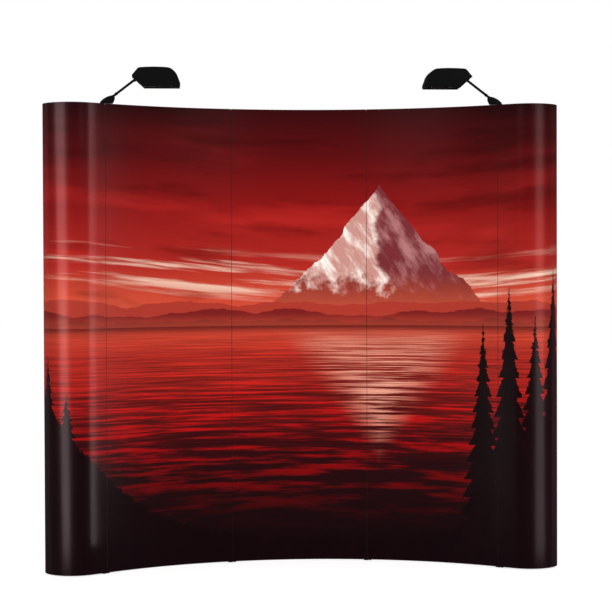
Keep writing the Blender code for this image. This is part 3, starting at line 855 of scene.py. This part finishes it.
def strut_sections(length):
    """Distance from the first pin, half width, half thickness and squareness, from tip to tip."""
    flat, thin, full = tongue_width / 2, tongue_thickness / 2, strut_diameter / 2
    sections = [(-flat * cos(angle), flat * sin(angle), thin, tongue_squareness)
                for angle in evenly(0, pi / 2, tongue_steps)]
    start = tube_setback - strut_washer
    for share in evenly(0, 1, swage_steps):
        ease = share * share * (3 - 2 * share)
        sections.append((start + swage_length * share, flat + (full - flat) * ease,
                         thin + (full - thin) * ease,
                         tongue_squareness - (tongue_squareness - tube_squareness) * ease ** 0.5))
    return sections + [(length - distance, *sizes) for distance, *sizes in reversed(sections)]


def strut_shape(start, end, normal):
    """A drawn tube whose ends are swaged into flat tongues."""
    along = (end - start).normalized()
    across = normal.cross(along)
    rings = []
    kept = []
    for distance, wide, thick, squareness in strut_sections((end - start).length):
        ring = []
        for side in range(turned_sides):
            angle = 2 * pi * side / turned_sides
            x, y = (copysign(abs(share) ** (2 / squareness), share)
                    for share in (cos(angle), sin(angle)))
            x *= max(wide, tip_half_width)
            ring.append(start + along * distance + across * x + normal * (y * thick))
            kept.append((distance, angle * strut_diameter / 2, 0))
        rings.append(ring)
    return (*lofted(rings), kept)


def pair_mesh(first, second, crossing, normal, looks):
    """Two crossing struts and their rivet with its two domed heads. The origin is where they cross."""
    crossing, normal = Vector(crossing), Vector(normal)
    seat = strut_offset + strut_diameter / 2 - rivet_head_rise * rivet_sunk_share
    radius = rivet_head_diameter / 2
    head = [(-rivet_head_rise, radius)] + dome(rivet_head_rise, radius, rivet_steps)
    shapes = [strut_shape(*first, normal), strut_shape(*second, normal)]
    for way in (normal, -normal):
        shapes.append(revolved(head, crossing + way * seat, way, rivet_sides, 1))
    shapes.append(rod(seat, radius * rivet_shank_share, crossing, normal, pin_sides, 1))
    mesh = joined_mesh("strut_pair", shapes, looks)
    mesh.transform(Matrix.Translation(-crossing))
    return mesh


def level_pair(looks):
    """Mesh of a level pair and how far its rivet lies from the arc's centre."""
    spin = Matrix.Rotation(bay_angle / 2, 3, "Z")
    front = spin @ Vector((pin_reach, front_line, strut_offset))
    rear = spin @ Vector((pin_reach, rear_line, -strut_offset))
    far_front = Vector((-front.x, front.y, -strut_offset))
    far_rear = Vector((-rear.x, rear.y, strut_offset))
    radius = front.y + front.x / (front.x - far_rear.x) * (far_rear.y - front.y)
    return pair_mesh((front, far_rear), (rear, far_front), (0, radius, 0), (0, 0, 1), looks), radius


def upright_pair(looks):
    x, y, z = strut_offset, frame_depth / 2, hub_pitch / 2 - pin_reach
    first = (Vector((-x, -y, -z)), Vector((-x, y, z)))
    second = (Vector((x, y, -z)), Vector((x, -y, z)))
    return pair_mesh(first, second, (0, 0, 0), (1, 0, 0), looks)


def add_scissors(looks):
    """Adds the level pairs between the hub lines and the upright pairs on them."""
    level_mesh, rivet_radius = level_pair(looks)
    upright_mesh = upright_pair(looks)
    for level, height in enumerate(hub_heights):
        for bay in range(bays_wide):
            add_to_frame(f"level_struts_{bay + 1}_{level + 1}", level_mesh.copy(),
                         [f"level_scissor_bay{bay + 1}_level{level + 1}"], bay + 1 / 2, rivet_radius, height)
    for line in range(bays_wide + 1):
        for row in range(rows_high):
            add_to_frame(f"upright_struts_{line + 1}_{row + 1}", upright_mesh.copy(),
                         [f"upright_scissor_line{line + 1}_row{row + 1}"], line,
                         (front_line + rear_line) / 2, hub_half + (row + 1 / 2) * hub_pitch)


# Arm lamps. In a lamp's own frame +X runs along the arm, and the origin is the swivel axis
# at the height of the panels' top edge.

clip_flange_diameter = 0.022
clip_flange_rise = 0.0047
clip_edge_round = 0.0006
clip_blade_depth = 0.012
post_diameter = 0.008
post_height = 0.009
post_foot_round = 0.001
post_tip_round = 0.0005
pod_length = 0.070
pod_height = 0.039
pod_width = 0.026
pod_tail = 0.011
pod_over_panel = 0.001
pod_side_round = 0.008
pod_seam = 0.0005
pod_core_share = 0.97          # the dark line in the seam lies a little inside the halves
arm_diameter = 0.012
arm_length = 0.154
arm_slope = radians(37.5)
collar_place = 0.030           # along the arm
collar_length = 0.006
collar_rise = 0.002
collar_end_shares = (0.7, 0.6)         # of its rise, at its near and far end
eye_diameter = 0.016
eye_width = 0.013
eye_edge_round = 0.0008
eye_neck = 0.008               # the tube narrows over this length before the eye, and half of it inside
eye_neck_shares = (0.96, 0.80)         # of the arm's radius, at the eye's rim and inside it
hinge_pin_diameter = 0.005
hinge_head_rises = (0, 0.001, 0.0019, 0.0022)
hinge_head_shares = (1.7, 1.7, 1.2, 0.5)       # of the pin's radius, at each rise
head_length = 0.233
head_height = 0.093
head_width = 0.120
head_wall = 0.0022
head_side_round = 0.006
head_corner_round = 0.009
head_nose_round = 0.016
fillet_limit_share = 0.45      # of a side, that a rounded corner may take at most
ear_thickness = 0.004
ear_half_length = 0.013
ear_depth = 0.021
slot_ahead = 0.022
slot_behind = 0.015
slot_depth = head_wall * 2.5
gland_diameter = 0.009
gland_length = 0.006
gland_offset = 0.024
gland_ribs = 3
gland_rib_shares = ((0.08, 1), (0.22, 1), (0.25, 0.86), (0.31, 0.86))      # of its length and its radius
gland_end_shares = ((1, 0.8), (1, 0.45), (0.4, 0.42))
vent_count = 6
vent_width = 0.0028
vent_length = 0.062
vent_pitch = 0.0085
vent_depth = head_wall * 4
glass_thickness = 0.003
glass_margin = 0.001
glass_recess = 0.006           # the shell's rim stands below the glass
reflector_sheet = 0.001
reflector_length = 0.136
reflector_width = 0.100
reflector_strips = 36
reflector_roof_gap = head_wall * 4
tube_diameter = 0.010
tube_neck_length = 0.003
tube_end_share = 0.7           # of its radius
tube_cap_diameter = 0.014
tube_cap_length = 0.018
tube_cap_grip_share = 0.2      # of a cap, that reaches over the quartz
tube_cap_round = 0.001
tube_cap_shares = (0.7, 0.96, 1, 1, 0.9, 0.4)          # of its radius, from its mouth to its end
tube_height = 0.034
filament_diameter = 0.0016
filament_turns = 44
filament_sides = 8             # rings to one turn
filament_reach_share = 0.8     # of the tube
filament_wire_share = 0.16     # half the wire's thickness, as a share of the coil's diameter
lamp_edge_round = 0.0005
screw_diameter = 0.0062
screw_rise = 0.0016
screw_fullness = 0.6           # of its dome, as a power: 1 is round
screw_top_share = 0.42         # of its radius, for the flat top
screw_sunk_share = 0.2         # of its rise, that sits in the pod's side
head_screw_height = 0.016
head_screw_shares = (0.30, 0.80)       # of the head's length

pod_outline_shares = ((0, 0), (0, 0.15), (0.12, 0.40), (0.29, 0.64), (0.50, 0.84), (0.72, 0.96),
                      (0.88, 1), (0.97, 0.90), (1, 0.70), (0.97, 0.40), (0.86, 0))
pod_socket_share = (0.72, 0.66)
pod_middle_share = 0.55
pod_screw_shares = (0.30, 0.78)        # of the pod's length
pod_screw_height_share = 0.32
head_outline_shares = ((0.26, 0), (0.985, 0), (1, 0.13), (0.92, 0.68), (0.80, 0.955), (0.65, 0.99),
                       (0.50, 1), (0.32, 0.992), (0.146, 0.965), (0, 0.53))
head_pivot_share = (0.107, 0.455)
reflector_place_share = 0.615


def scaled(shares, length, height, start):
    return [(start[0] + x * length, start[1] + y * height) for x, y in shares]


pod_corners = scaled(pod_outline_shares, pod_length, pod_height, (-pod_tail, pod_over_panel))
arm_root = scaled([pod_socket_share], pod_length, pod_height, (-pod_tail, pod_over_panel))[0]
arm_way = Vector((cos(arm_slope), 0, sin(arm_slope)))
pivot = (arm_root[0] + arm_length * cos(arm_slope), arm_root[1] + arm_length * sin(arm_slope))
head_start = (pivot[0] - head_pivot_share[0] * head_length, pivot[1] - head_pivot_share[1] * head_height)
head_outline = scaled(head_outline_shares, head_length, head_height, head_start)
head_inside = head_width / 2 - head_wall
reflector_middle = head_start[0] + reflector_place_share * head_length
glass_low = head_outline[0][1]
glass_top = glass_low + glass_recess + glass_thickness


def smooth_outline(corners, steps=4):
    """A smooth line through the corners of an open outline; its first and last corners stay sharp."""
    points = [Vector(corner) for corner in corners]
    result = []
    for before, start, end, after in zip(points[:1] + points, points, points[1:], points[2:] + points[-1:]):
        for t in evenly(0, 1, steps)[:-1]:
            result.append(tuple(0.5 * (2 * start + (end - before) * t
                                       + (2 * before - 5 * start + 4 * end - after) * t ** 2
                                       + (3 * start - before - 3 * end + after) * t ** 3)))
    return result + [tuple(points[-1])]


def filleted(outline, rounds, steps):
    """The outline with its corners rounded, each from its own distance before and after it."""
    corners = [Vector(corner) for corner in outline]
    result = []
    for last, corner, following, rounding in zip(corners[-1:] + corners, corners,
                                                 corners[1:] + corners[:1], rounds):
        before, after = last - corner, following - corner
        reach = min(rounding, before.length * fillet_limit_share, after.length * fillet_limit_share)
        start = corner + before.normalized() * reach
        end = corner + after.normalized() * reach
        for share in evenly(0, 1, steps):
            point = start * (1 - share) ** 2 + corner * 2 * share * (1 - share) + end * share ** 2
            result.append(tuple(point))
    return result


def ring_at(y, outline, middle, along=1.0, upward=1.0):
    """The side profile as a ring at y, drawn in towards its middle by two shares."""
    return [(middle[0] + (x - middle[0]) * along, y, middle[1] + (z - middle[1]) * upward)
            for x, z in outline]


def round_sided(outline, width, rounding, middle, steps):
    """Rings of a side profile across Y, drawn in towards its middle where the sides round over."""
    stations = [(-width / 2 + rounding * (1 - cos(angle)), rounding * (1 - sin(angle)))
                for angle in evenly(0, pi / 2, steps)]
    stations += [(-y, inset) for y, inset in reversed(stations)]
    longest = max(abs(x - middle[0]) for x, _ in outline)
    tallest = max(abs(z - middle[1]) for _, z in outline)
    return [ring_at(y, outline, middle, 1 - inset / longest, 1 - inset / tallest) for y, inset in stations]


def along_arm(distance):
    return Vector((arm_root[0], 0, arm_root[1])) + arm_way * distance


def chamfer_frame():
    """At the rear chamfer of the head: X runs down it towards the glass and Z points into the head."""
    tip, heel = (Vector((x, 0, z)) for x, z in (head_outline[-1], head_outline[0]))
    along = (heel - tip).normalized()
    across = Vector((0, 1, 0))
    foot = tip + along * (Vector((pivot[0], 0, pivot[1])) - tip).dot(along)
    return Matrix.Translation(foot) @ Matrix((along, across, along.cross(across))).transposed().to_4x4()


def screw_shape(x, y, z):
    """A small pan head on the side of a piece, turned to the side that y lies on."""
    radius = screw_diameter / 2
    profile = [(-screw_rise, radius)] + dome(screw_rise, radius, screw_steps, screw_fullness)
    profile[-1] = (screw_rise, radius * screw_top_share)
    return revolved(profile, (x, y, z), (0, copysign(1, y), 0), rivet_sides, 1)


def clip_piece_mesh(side, look):
    """The clip on an end hub: a flange with the post that the pod turns on, and a blade in the top notch."""
    low = hub_top + seat_gap - panel_top
    high = low + clip_flange_rise
    tip = high + post_height
    rim, post = clip_flange_diameter / 2, post_diameter / 2
    flange = ((low, rim - clip_edge_round), (low + clip_edge_round, rim), (high - clip_edge_round, rim),
              (high, rim - clip_edge_round), (high, post + post_foot_round), (high + post_foot_round, post),
              (tip - post_tip_round, post), (tip, post - post_tip_round))
    thin = tongue_thickness / 2
    blade = box_shape((-strut_offset - thin, -hub_face, low - clip_blade_depth),
                      (-strut_offset + thin, hub_face, low + clip_flange_rise / 2),
                      Matrix.Rotation(-side * half_turn, 4, "Z"))
    return joined_mesh("clip", [revolved(flange, (0, 0, 0), (0, 0, 1), broad_sides), blade], (look,))


def pod_piece_mesh(look, screw_look):
    """The swivelling pod: two moulded halves with rounded sides, the seam between them and its screws."""
    outline = smooth_outline(pod_corners)
    middle = (pod_corners[0][0] + pod_length * pod_middle_share, pod_over_panel)
    rings = round_sided(outline, pod_width, pod_side_round, middle, pod_round_steps)
    half = len(rings) // 2
    left = rings[:half] + [ring_at(-pod_seam / 2, outline, middle)]
    right = [ring_at(pod_seam / 2, outline, middle)] + rings[half:]
    core = [ring_at(y, outline, middle, pod_core_share, pod_core_share) for y in (-pod_seam, pod_seam)]
    radius = post_diameter / 2 + seat_gap
    roof = hub_top - panel_top + clip_flange_rise + post_height + 2 * seat_gap
    post = revolved(((-cutter_overrun, radius), (roof, radius)), (0, 0, 0), (0, 0, 1))
    radius = arm_diameter / 2 + seat_gap
    socket = revolved(((-seat_gap, radius), (pod_length, radius)), along_arm(0), arm_way)
    shapes = [cut_shape(joined_mesh("pod_shell", [lofted(rings)], (look,)), [post, socket])
              for rings in (left, right, core)]
    for side in (-1, 1):
        for share in pod_screw_shares:
            shapes.append(screw_shape(pod_corners[0][0] + pod_length * share,
                                      side * (pod_width / 2 - screw_rise * screw_sunk_share),
                                      pod_over_panel + pod_height * pod_screw_height_share))
    return joined_mesh("pod", shapes, (look, screw_look))


def arm_piece_mesh(look, pin_look):
    """The arm's tube, the collar where it enters the pod, the eye and the pin that the head tilts on."""
    root, centre = along_arm(0), along_arm(arm_length)
    radius = arm_diameter / 2
    end = arm_length - eye_diameter / 2
    neck, inside = (radius * share for share in eye_neck_shares)
    tube = ((0, radius), (end - eye_neck, radius), (end, neck), (end + eye_neck / 2, inside))
    mouth, rim = collar_place + collar_length, radius + collar_rise
    near, far = (radius + share * collar_rise for share in collar_end_shares)
    collar = ((collar_place, radius), (collar_place, near), (collar_place + collar_rise / 2, rim),
              (mouth - collar_rise / 2, rim), (mouth, far), (mouth, radius))
    half, rim = eye_width / 2, eye_diameter / 2
    eye = ((-half, rim - eye_edge_round), (-half + eye_edge_round, rim), (half - eye_edge_round, rim),
           (half, rim - eye_edge_round))
    reach = half + seat_gap + ear_thickness
    pin = hinge_pin_diameter / 2
    head = [(rise, pin * share) for rise, share in zip(hinge_head_rises, hinge_head_shares)]
    shapes = [revolved(tube, root, arm_way, arm_sides), revolved(collar, root, arm_way, arm_sides),
              revolved(eye, centre, (0, 1, 0), broad_sides),
              rod(reach, pin, centre, (0, 1, 0), rivet_sides, 1)]
    for side in (-1, 1):
        shapes.append(revolved(head, centre + Vector((0, side * reach, 0)), (0, side, 0), rivet_sides, 1))
    return joined_mesh("arm", shapes, (look, pin_look))


def head_rings(inset):
    """Rings of the head's side profile across its width, drawn in by an inset. The mouth edge stays low."""
    corners = head_outline[1:]
    rounds = [head_nose_round if x > reflector_middle else head_corner_round for x, _ in corners]
    steps = head_round_steps
    outline = head_outline[:2] + filleted(corners, rounds, steps)[steps + 1:]
    middle = (head_start[0] + head_length / 2, glass_low)
    rings = round_sided(outline, head_width - 2 * inset, head_side_round - inset, middle, steps)
    shares = (1 - inset / (head_length / 2), 1 - inset / head_height)
    return [ring_at(ring[0][1], [(x, z) for x, _, z in ring], middle, *shares) for ring in rings]


def head_piece_mesh(look, screw_look):
    """The head's thin shell, open on the glass side, with its window, ears, vents, gland and screws."""
    shell = joined_mesh("head", [lofted(head_rings(0))], (look,))
    hollow = head_rings(head_wall)
    mouth = [x for ring in hollow for x, _, _ in ring[:2]]
    chamfer = chamfer_frame()
    gap = eye_width / 2 + seat_gap
    cutters = [lofted(hollow),
               box_shape((min(mouth), -head_inside, glass_low - cutter_overrun),
                         (max(mouth), head_inside, glass_low + head_wall)),
               box_shape((-slot_behind, -gap, -cutter_overrun), (slot_ahead, gap, slot_depth), chamfer)]
    roof = glass_low + head_height
    for number in range(vent_count):
        x = reflector_middle + (number - (vent_count - 1) / 2) * vent_pitch
        cutters.append(box_shape((x - vent_width / 2, -vent_length / 2, roof - vent_depth),
                                 (x + vent_width / 2, vent_length / 2, roof + cutter_overrun)))
    shapes = [cut_shape(shell, cutters)]
    for side in (-1, 1):
        near, far = sorted((side * gap, side * (gap + ear_thickness)))
        shapes.append(box_shape((-ear_half_length, near, head_wall / 2), (ear_half_length, far, ear_depth),
                                chamfer))
        for share in head_screw_shares:
            shapes.append(screw_shape(head_start[0] + head_length * share, side * head_width / 2,
                                      glass_low + head_screw_height))
    radius = gland_diameter / 2
    gland = [(-head_wall / 2, radius)]
    for rib in range(gland_ribs):
        foot = rib * gland_length / gland_ribs
        gland += [(foot + gland_length * rise, radius * share) for rise, share in gland_rib_shares]
    gland += [(gland_length * rise, radius * share) for rise, share in gland_end_shares]
    outward = chamfer.to_3x3() @ Vector((0, 0, -1))
    shapes.append(revolved(gland, chamfer @ Vector((0, gland_offset, 0)), outward))
    return joined_mesh("head", shapes, (look, screw_look))


def glass_piece_mesh(look):
    """A pane a little above the shell's rim. Its heel follows the slanted rear wall."""
    (heel, rim), (tip, rise) = head_outline[0], head_outline[-1]
    lean = (heel - tip) / (rise - rim)
    back = heel + head_wall * hypot(1, lean) + glass_margin
    toe = head_outline[1][0] - head_wall - glass_margin
    half = head_inside - seat_gap
    low, high = glass_recess, glass_recess + glass_thickness
    outline = ((back - lean * low, rim + low), (toe, rim + low), (toe, rim + high),
               (back - lean * high, rim + high))
    return joined_mesh("glass", [extruded(outline, -half, half, upright)], (look,))


def reflector_piece_mesh(look):
    """A bent bright sheet over the tube."""
    base = glass_top + seat_gap
    roof = head_height - glass_recess - glass_thickness - reflector_roof_gap
    half = reflector_width / 2
    rings = []
    corners = ((0, -half), (0, half), (reflector_sheet, half), (reflector_sheet, -half))
    for angle in evenly(0, pi, reflector_strips):
        rings.append([(reflector_middle + (reflector_length / 2 - inset) * cos(angle), y,
                       base + (roof - inset) * sin(angle)) for inset, y in corners])
    return joined_mesh("reflector", [lofted(rings)], (look,))


def tube_piece_mesh(glass_look, cap_look, wire_look):
    """The halogen tube: clear quartz, a ceramic cap at each end, and the coiled wire."""
    place = Vector((reflector_middle, 0, glass_top + tube_height))
    half = head_inside - seat_gap
    body = half - tube_cap_length * (1 - tube_cap_grip_share)
    radius = tube_diameter / 2
    shoulder = body - tube_neck_length
    end = radius * tube_end_share
    glass = ((-body, end), (-shoulder, radius), (shoulder, radius), (body, end))
    shapes = [revolved(glass, place, (0, 1, 0))]
    radius = tube_cap_diameter / 2
    mouth = body - tube_cap_length * tube_cap_grip_share
    stops = (mouth, mouth, body, half - tube_cap_round, half - tube_cap_round / 2, half)
    cap = [(stop, radius * share) for stop, share in zip(stops, tube_cap_shares)]
    for side in (-1, 1):
        shapes.append(revolved(cap, place, (0, side, 0), look=1))
    wire = filament_diameter * filament_wire_share
    reach = body * filament_reach_share
    rings = []
    for step, y in enumerate(evenly(-reach, reach, filament_turns * filament_sides)):
        angle = 2 * pi * step / filament_sides
        outward = Vector((cos(angle), 0, sin(angle)))
        centre = place + Vector((0, y, 0)) + outward * filament_diameter / 2
        rings.append([centre + outward * wire, centre + Vector((0, wire, 0)),
                      centre - outward * wire, centre - Vector((0, wire, 0))])
    return joined_mesh("halogen_tube", shapes + [lofted(rings, 2)], (glass_look, cap_look, wire_look))


def add_lamps(clip, pod, arm, head, screw, glass, reflector, quartz, ceramic, tungsten):
    """Adds both lamps, which stand on the end columns and reach in over the print."""
    parts = (("pod", "arm", "lamp_pod", pod_piece_mesh(pod, screw), 0),
             ("arm", "arm", "lamp_arm", arm_piece_mesh(arm, screw), 0),
             ("head_shell", "head", "lamp_head", head_piece_mesh(head, screw), lamp_edge_round),
             ("glass", "head", "lamp_glass", glass_piece_mesh(glass), lamp_edge_round),
             ("reflector", "head", "lamp_reflector", reflector_piece_mesh(reflector), 0),
             ("halogen_tube", "head", "lamp_tube", tube_piece_mesh(quartz, ceramic, tungsten), 0))
    for word, side, turn in (("left", -1, 0.0), ("right", 1, pi)):
        base = on_arc(front_line, side * half_turn, panel_top)
        piece = add_piece(f"clip_{word}", clip_piece_mesh(side, clip), "frame",
                          [f"lamp_{word}_clip"], base)
        soften(piece, clip_edge_round / 2)
        for part, body, slot, mesh, rounding in parts:
            piece = add_piece(f"{part}_{word}", mesh.copy(), f"lamp_{word}_{body}",
                              [f"lamp_{word}_{part}"], base, turn)
            if rounding:
                soften(piece, rounding)


# Stage, light and camera

camera_place = (-0.6373, -9.0323, 1.4375)
camera_yaw = radians(-4.221)      # to the left of straight ahead
camera_pitch = radians(-1.087)
camera_roll = radians(-0.202)
camera_lens = 108.53                   # mm, on a 36 mm wide sensor
camera_sensor = 36
room_white = 0.62              # of the background as light, and of the floor
floor_reach = 40.0
key_place = (4.2, -6.5, 4.2)   # of the right one, and mirrored for the left
key_target = (0, 0, 1.1)
key_size = 3.0
key_powers = {"left": 260, "right": 220}
strip_target = (1.13, -0.31)   # on the right end panel's curl, and mirrored for the left
strip_reach = 0.50             # from an end panel's curl to its strip light
strip_turn = radians(37)
strip_width = 0.34
strip_height = 2.45
strip_powers = {"left": 138, "right": 76}
strip_leans = {"left": radians(5), "right": 0.0}     # a lean lets the gloss line run slightly off plumb
strip_tips = {"left": radians(-5), "right": radians(4)}    # a tip brightens one end of the line
inner_strip_reach = 0.12       # from the left end panel's flat face to the strip that draws its second line
inner_strip_inset = 0.006      # of its middle, on the flat face, from where the curl starts
inner_strip_width = 0.03
inner_strip_low = 0.13
inner_strip_high = 2.34
inner_strip_power = 8.5


def add_camera():
    data = bpy.data.cameras.new("camera")
    data.lens = camera_lens
    data.sensor_width = camera_sensor
    camera = linked("camera", data)
    turn = Matrix.Rotation(camera_yaw, 4, "Z") @ Matrix.Rotation(pi / 2 + camera_pitch, 4, "X")
    camera.matrix_world = Matrix.Translation(camera_place) @ turn @ Matrix.Rotation(camera_roll, 4, "Z")
    bpy.context.scene.camera = camera


def white_world():
    """White to the camera, to gloss and through glass, and a softer white as light."""
    world = bpy.data.worlds.new("studio")
    bpy.context.scene.world = world
    look = Look(world, "Background")
    look.set(Color=(1, 1, 1, 1), Strength=look.seen_directly().spread(room_white, 1.0))


def add_floor():
    """A pale floor that stays white to the camera but keeps the display's shadow."""
    mesh = bpy.data.meshes.new("floor")
    low, high = -floor_reach, floor_reach
    mesh.from_pydata([(low, low, 0), (high, low, 0), (high, high, 0), (low, high, 0)], [], [(0, 1, 2, 3)])
    look = new_look("floor")
    mesh.materials.append(look.set(Base_Color=(room_white,) * 3 + (1,), Roughness=0.9, Specular_IOR_Level=0.0,
                                   Emission_Color=(1, 1, 1, 1),
                                   Emission_Strength=look.seen_directly() * room_white))
    linked("floor", mesh)


def add_area_light(name, place, target, width, height, power):
    data = bpy.data.lights.new(name, "AREA")
    data.shape = "RECTANGLE"
    data.size = width
    data.size_y = height
    data.energy = power
    light = linked(name, data)
    light.location = place
    light.rotation_euler = (Vector(target) - Vector(place)).to_track_quat("-Z", "Y").to_euler()
    return light


def gloss_only(light, prints):
    """Leaves a light only its reflection in the gloss of the prints."""
    light.visible_camera = False
    light.visible_diffuse = False
    light.light_linking.receiver_collection = prints


def add_lights():
    """Two soft keys in front, and strips near the curled ends that draw the gloss lines down them."""
    prints = bpy.data.collections.new("prints")
    for piece in bpy.context.scene.objects:
        if piece.name.startswith("print_"):
            prints.objects.link(piece)
    for side, word in ((-1, "left"), (1, "right")):
        x, y, z = key_place
        add_area_light(f"key_{word}", (side * x, y, z), key_target, key_size, key_size, key_powers[word])
        x, y = strip_target
        target = Vector((side * x, y, panel_top / 2))
        place = target + Vector((side * sin(strip_turn), -cos(strip_turn), 0)) * strip_reach
        strip = add_area_light(f"strip_{word}", place, target, strip_width, strip_height, strip_powers[word])
        strip.rotation_euler.rotate_axis("Z", strip_leans[word])
        strip.rotation_euler.rotate_axis("X", strip_tips[word])
        gloss_only(strip, prints)
    middle = (inner_strip_low + inner_strip_high) / 2
    target = Vector((*panel_line(inner_strip_inset - end_straight - front_reach, 0), middle))
    across, forward = Matrix.Rotation(half_turn, 2) @ Vector((0, -1))
    sight = (target - Vector(camera_place)).xy.normalized()
    bounce = sight.reflect(Vector((across, forward)))
    place = target + Vector((*bounce, 0)) * inner_strip_reach
    gloss_only(add_area_light("strip_inner", place, target, inner_strip_width,
                              inner_strip_high - inner_strip_low, inner_strip_power), prints)


def main():
    bpy.context.scene.view_settings.view_transform = "Standard"
    white_world()
    add_floor()
    add_camera()
    edge_look = moulded_plastic("film_edge", tone(104, 54, 52), 0.5, shine=0.1)
    print_looks = (printed_film(), film_back(), edge_look)
    add_panels(print_looks, magnet_tape(), moulded_plastic("rail_plastic", tone(222, 222, 218), 0.4))
    pin_look = plain_metal("pin_steel", tone(172, 172, 174), 0.3)
    add_columns(drawn_metal("bar_steel", tone(36, 36, 38), 0.48, 3.0, 900.0),
                moulded_plastic("hub_nylon", tone(22, 22, 23), 0.42, shine=0.3), pin_look)
    add_scissors((drawn_metal("strut_aluminium", tone(206, 207, 210), 0.32, 5.0, 1400.0), pin_look))
    add_lamps(clip=moulded_plastic("clip_plastic", tone(9, 9, 10), 0.45, shine=0.05),
              pod=moulded_plastic("pod_plastic", tone(7, 7, 8), 0.42, 1200.0, 0.03),
              arm=powder_coat("arm_coat", tone(10, 10, 11), 0.42),
              head=powder_coat("head_coat", tone(7, 7, 7), 0.5),
              screw=plain_metal("screw_steel", tone(24, 24, 25), 0.4),
              glass=clear_glass("lamp_glass", tone(244, 247, 247), 0.03, 0.3),
              reflector=plain_metal("reflector_metal", tone(226, 226, 224), 0.22),
              quartz=clear_glass("quartz", tone(250, 250, 250), 0.0),
              ceramic=moulded_plastic("ceramic", tone(228, 222, 208), 0.6),
              tungsten=plain_metal("tungsten", tone(120, 116, 110), 0.45))
    add_lights()


main()
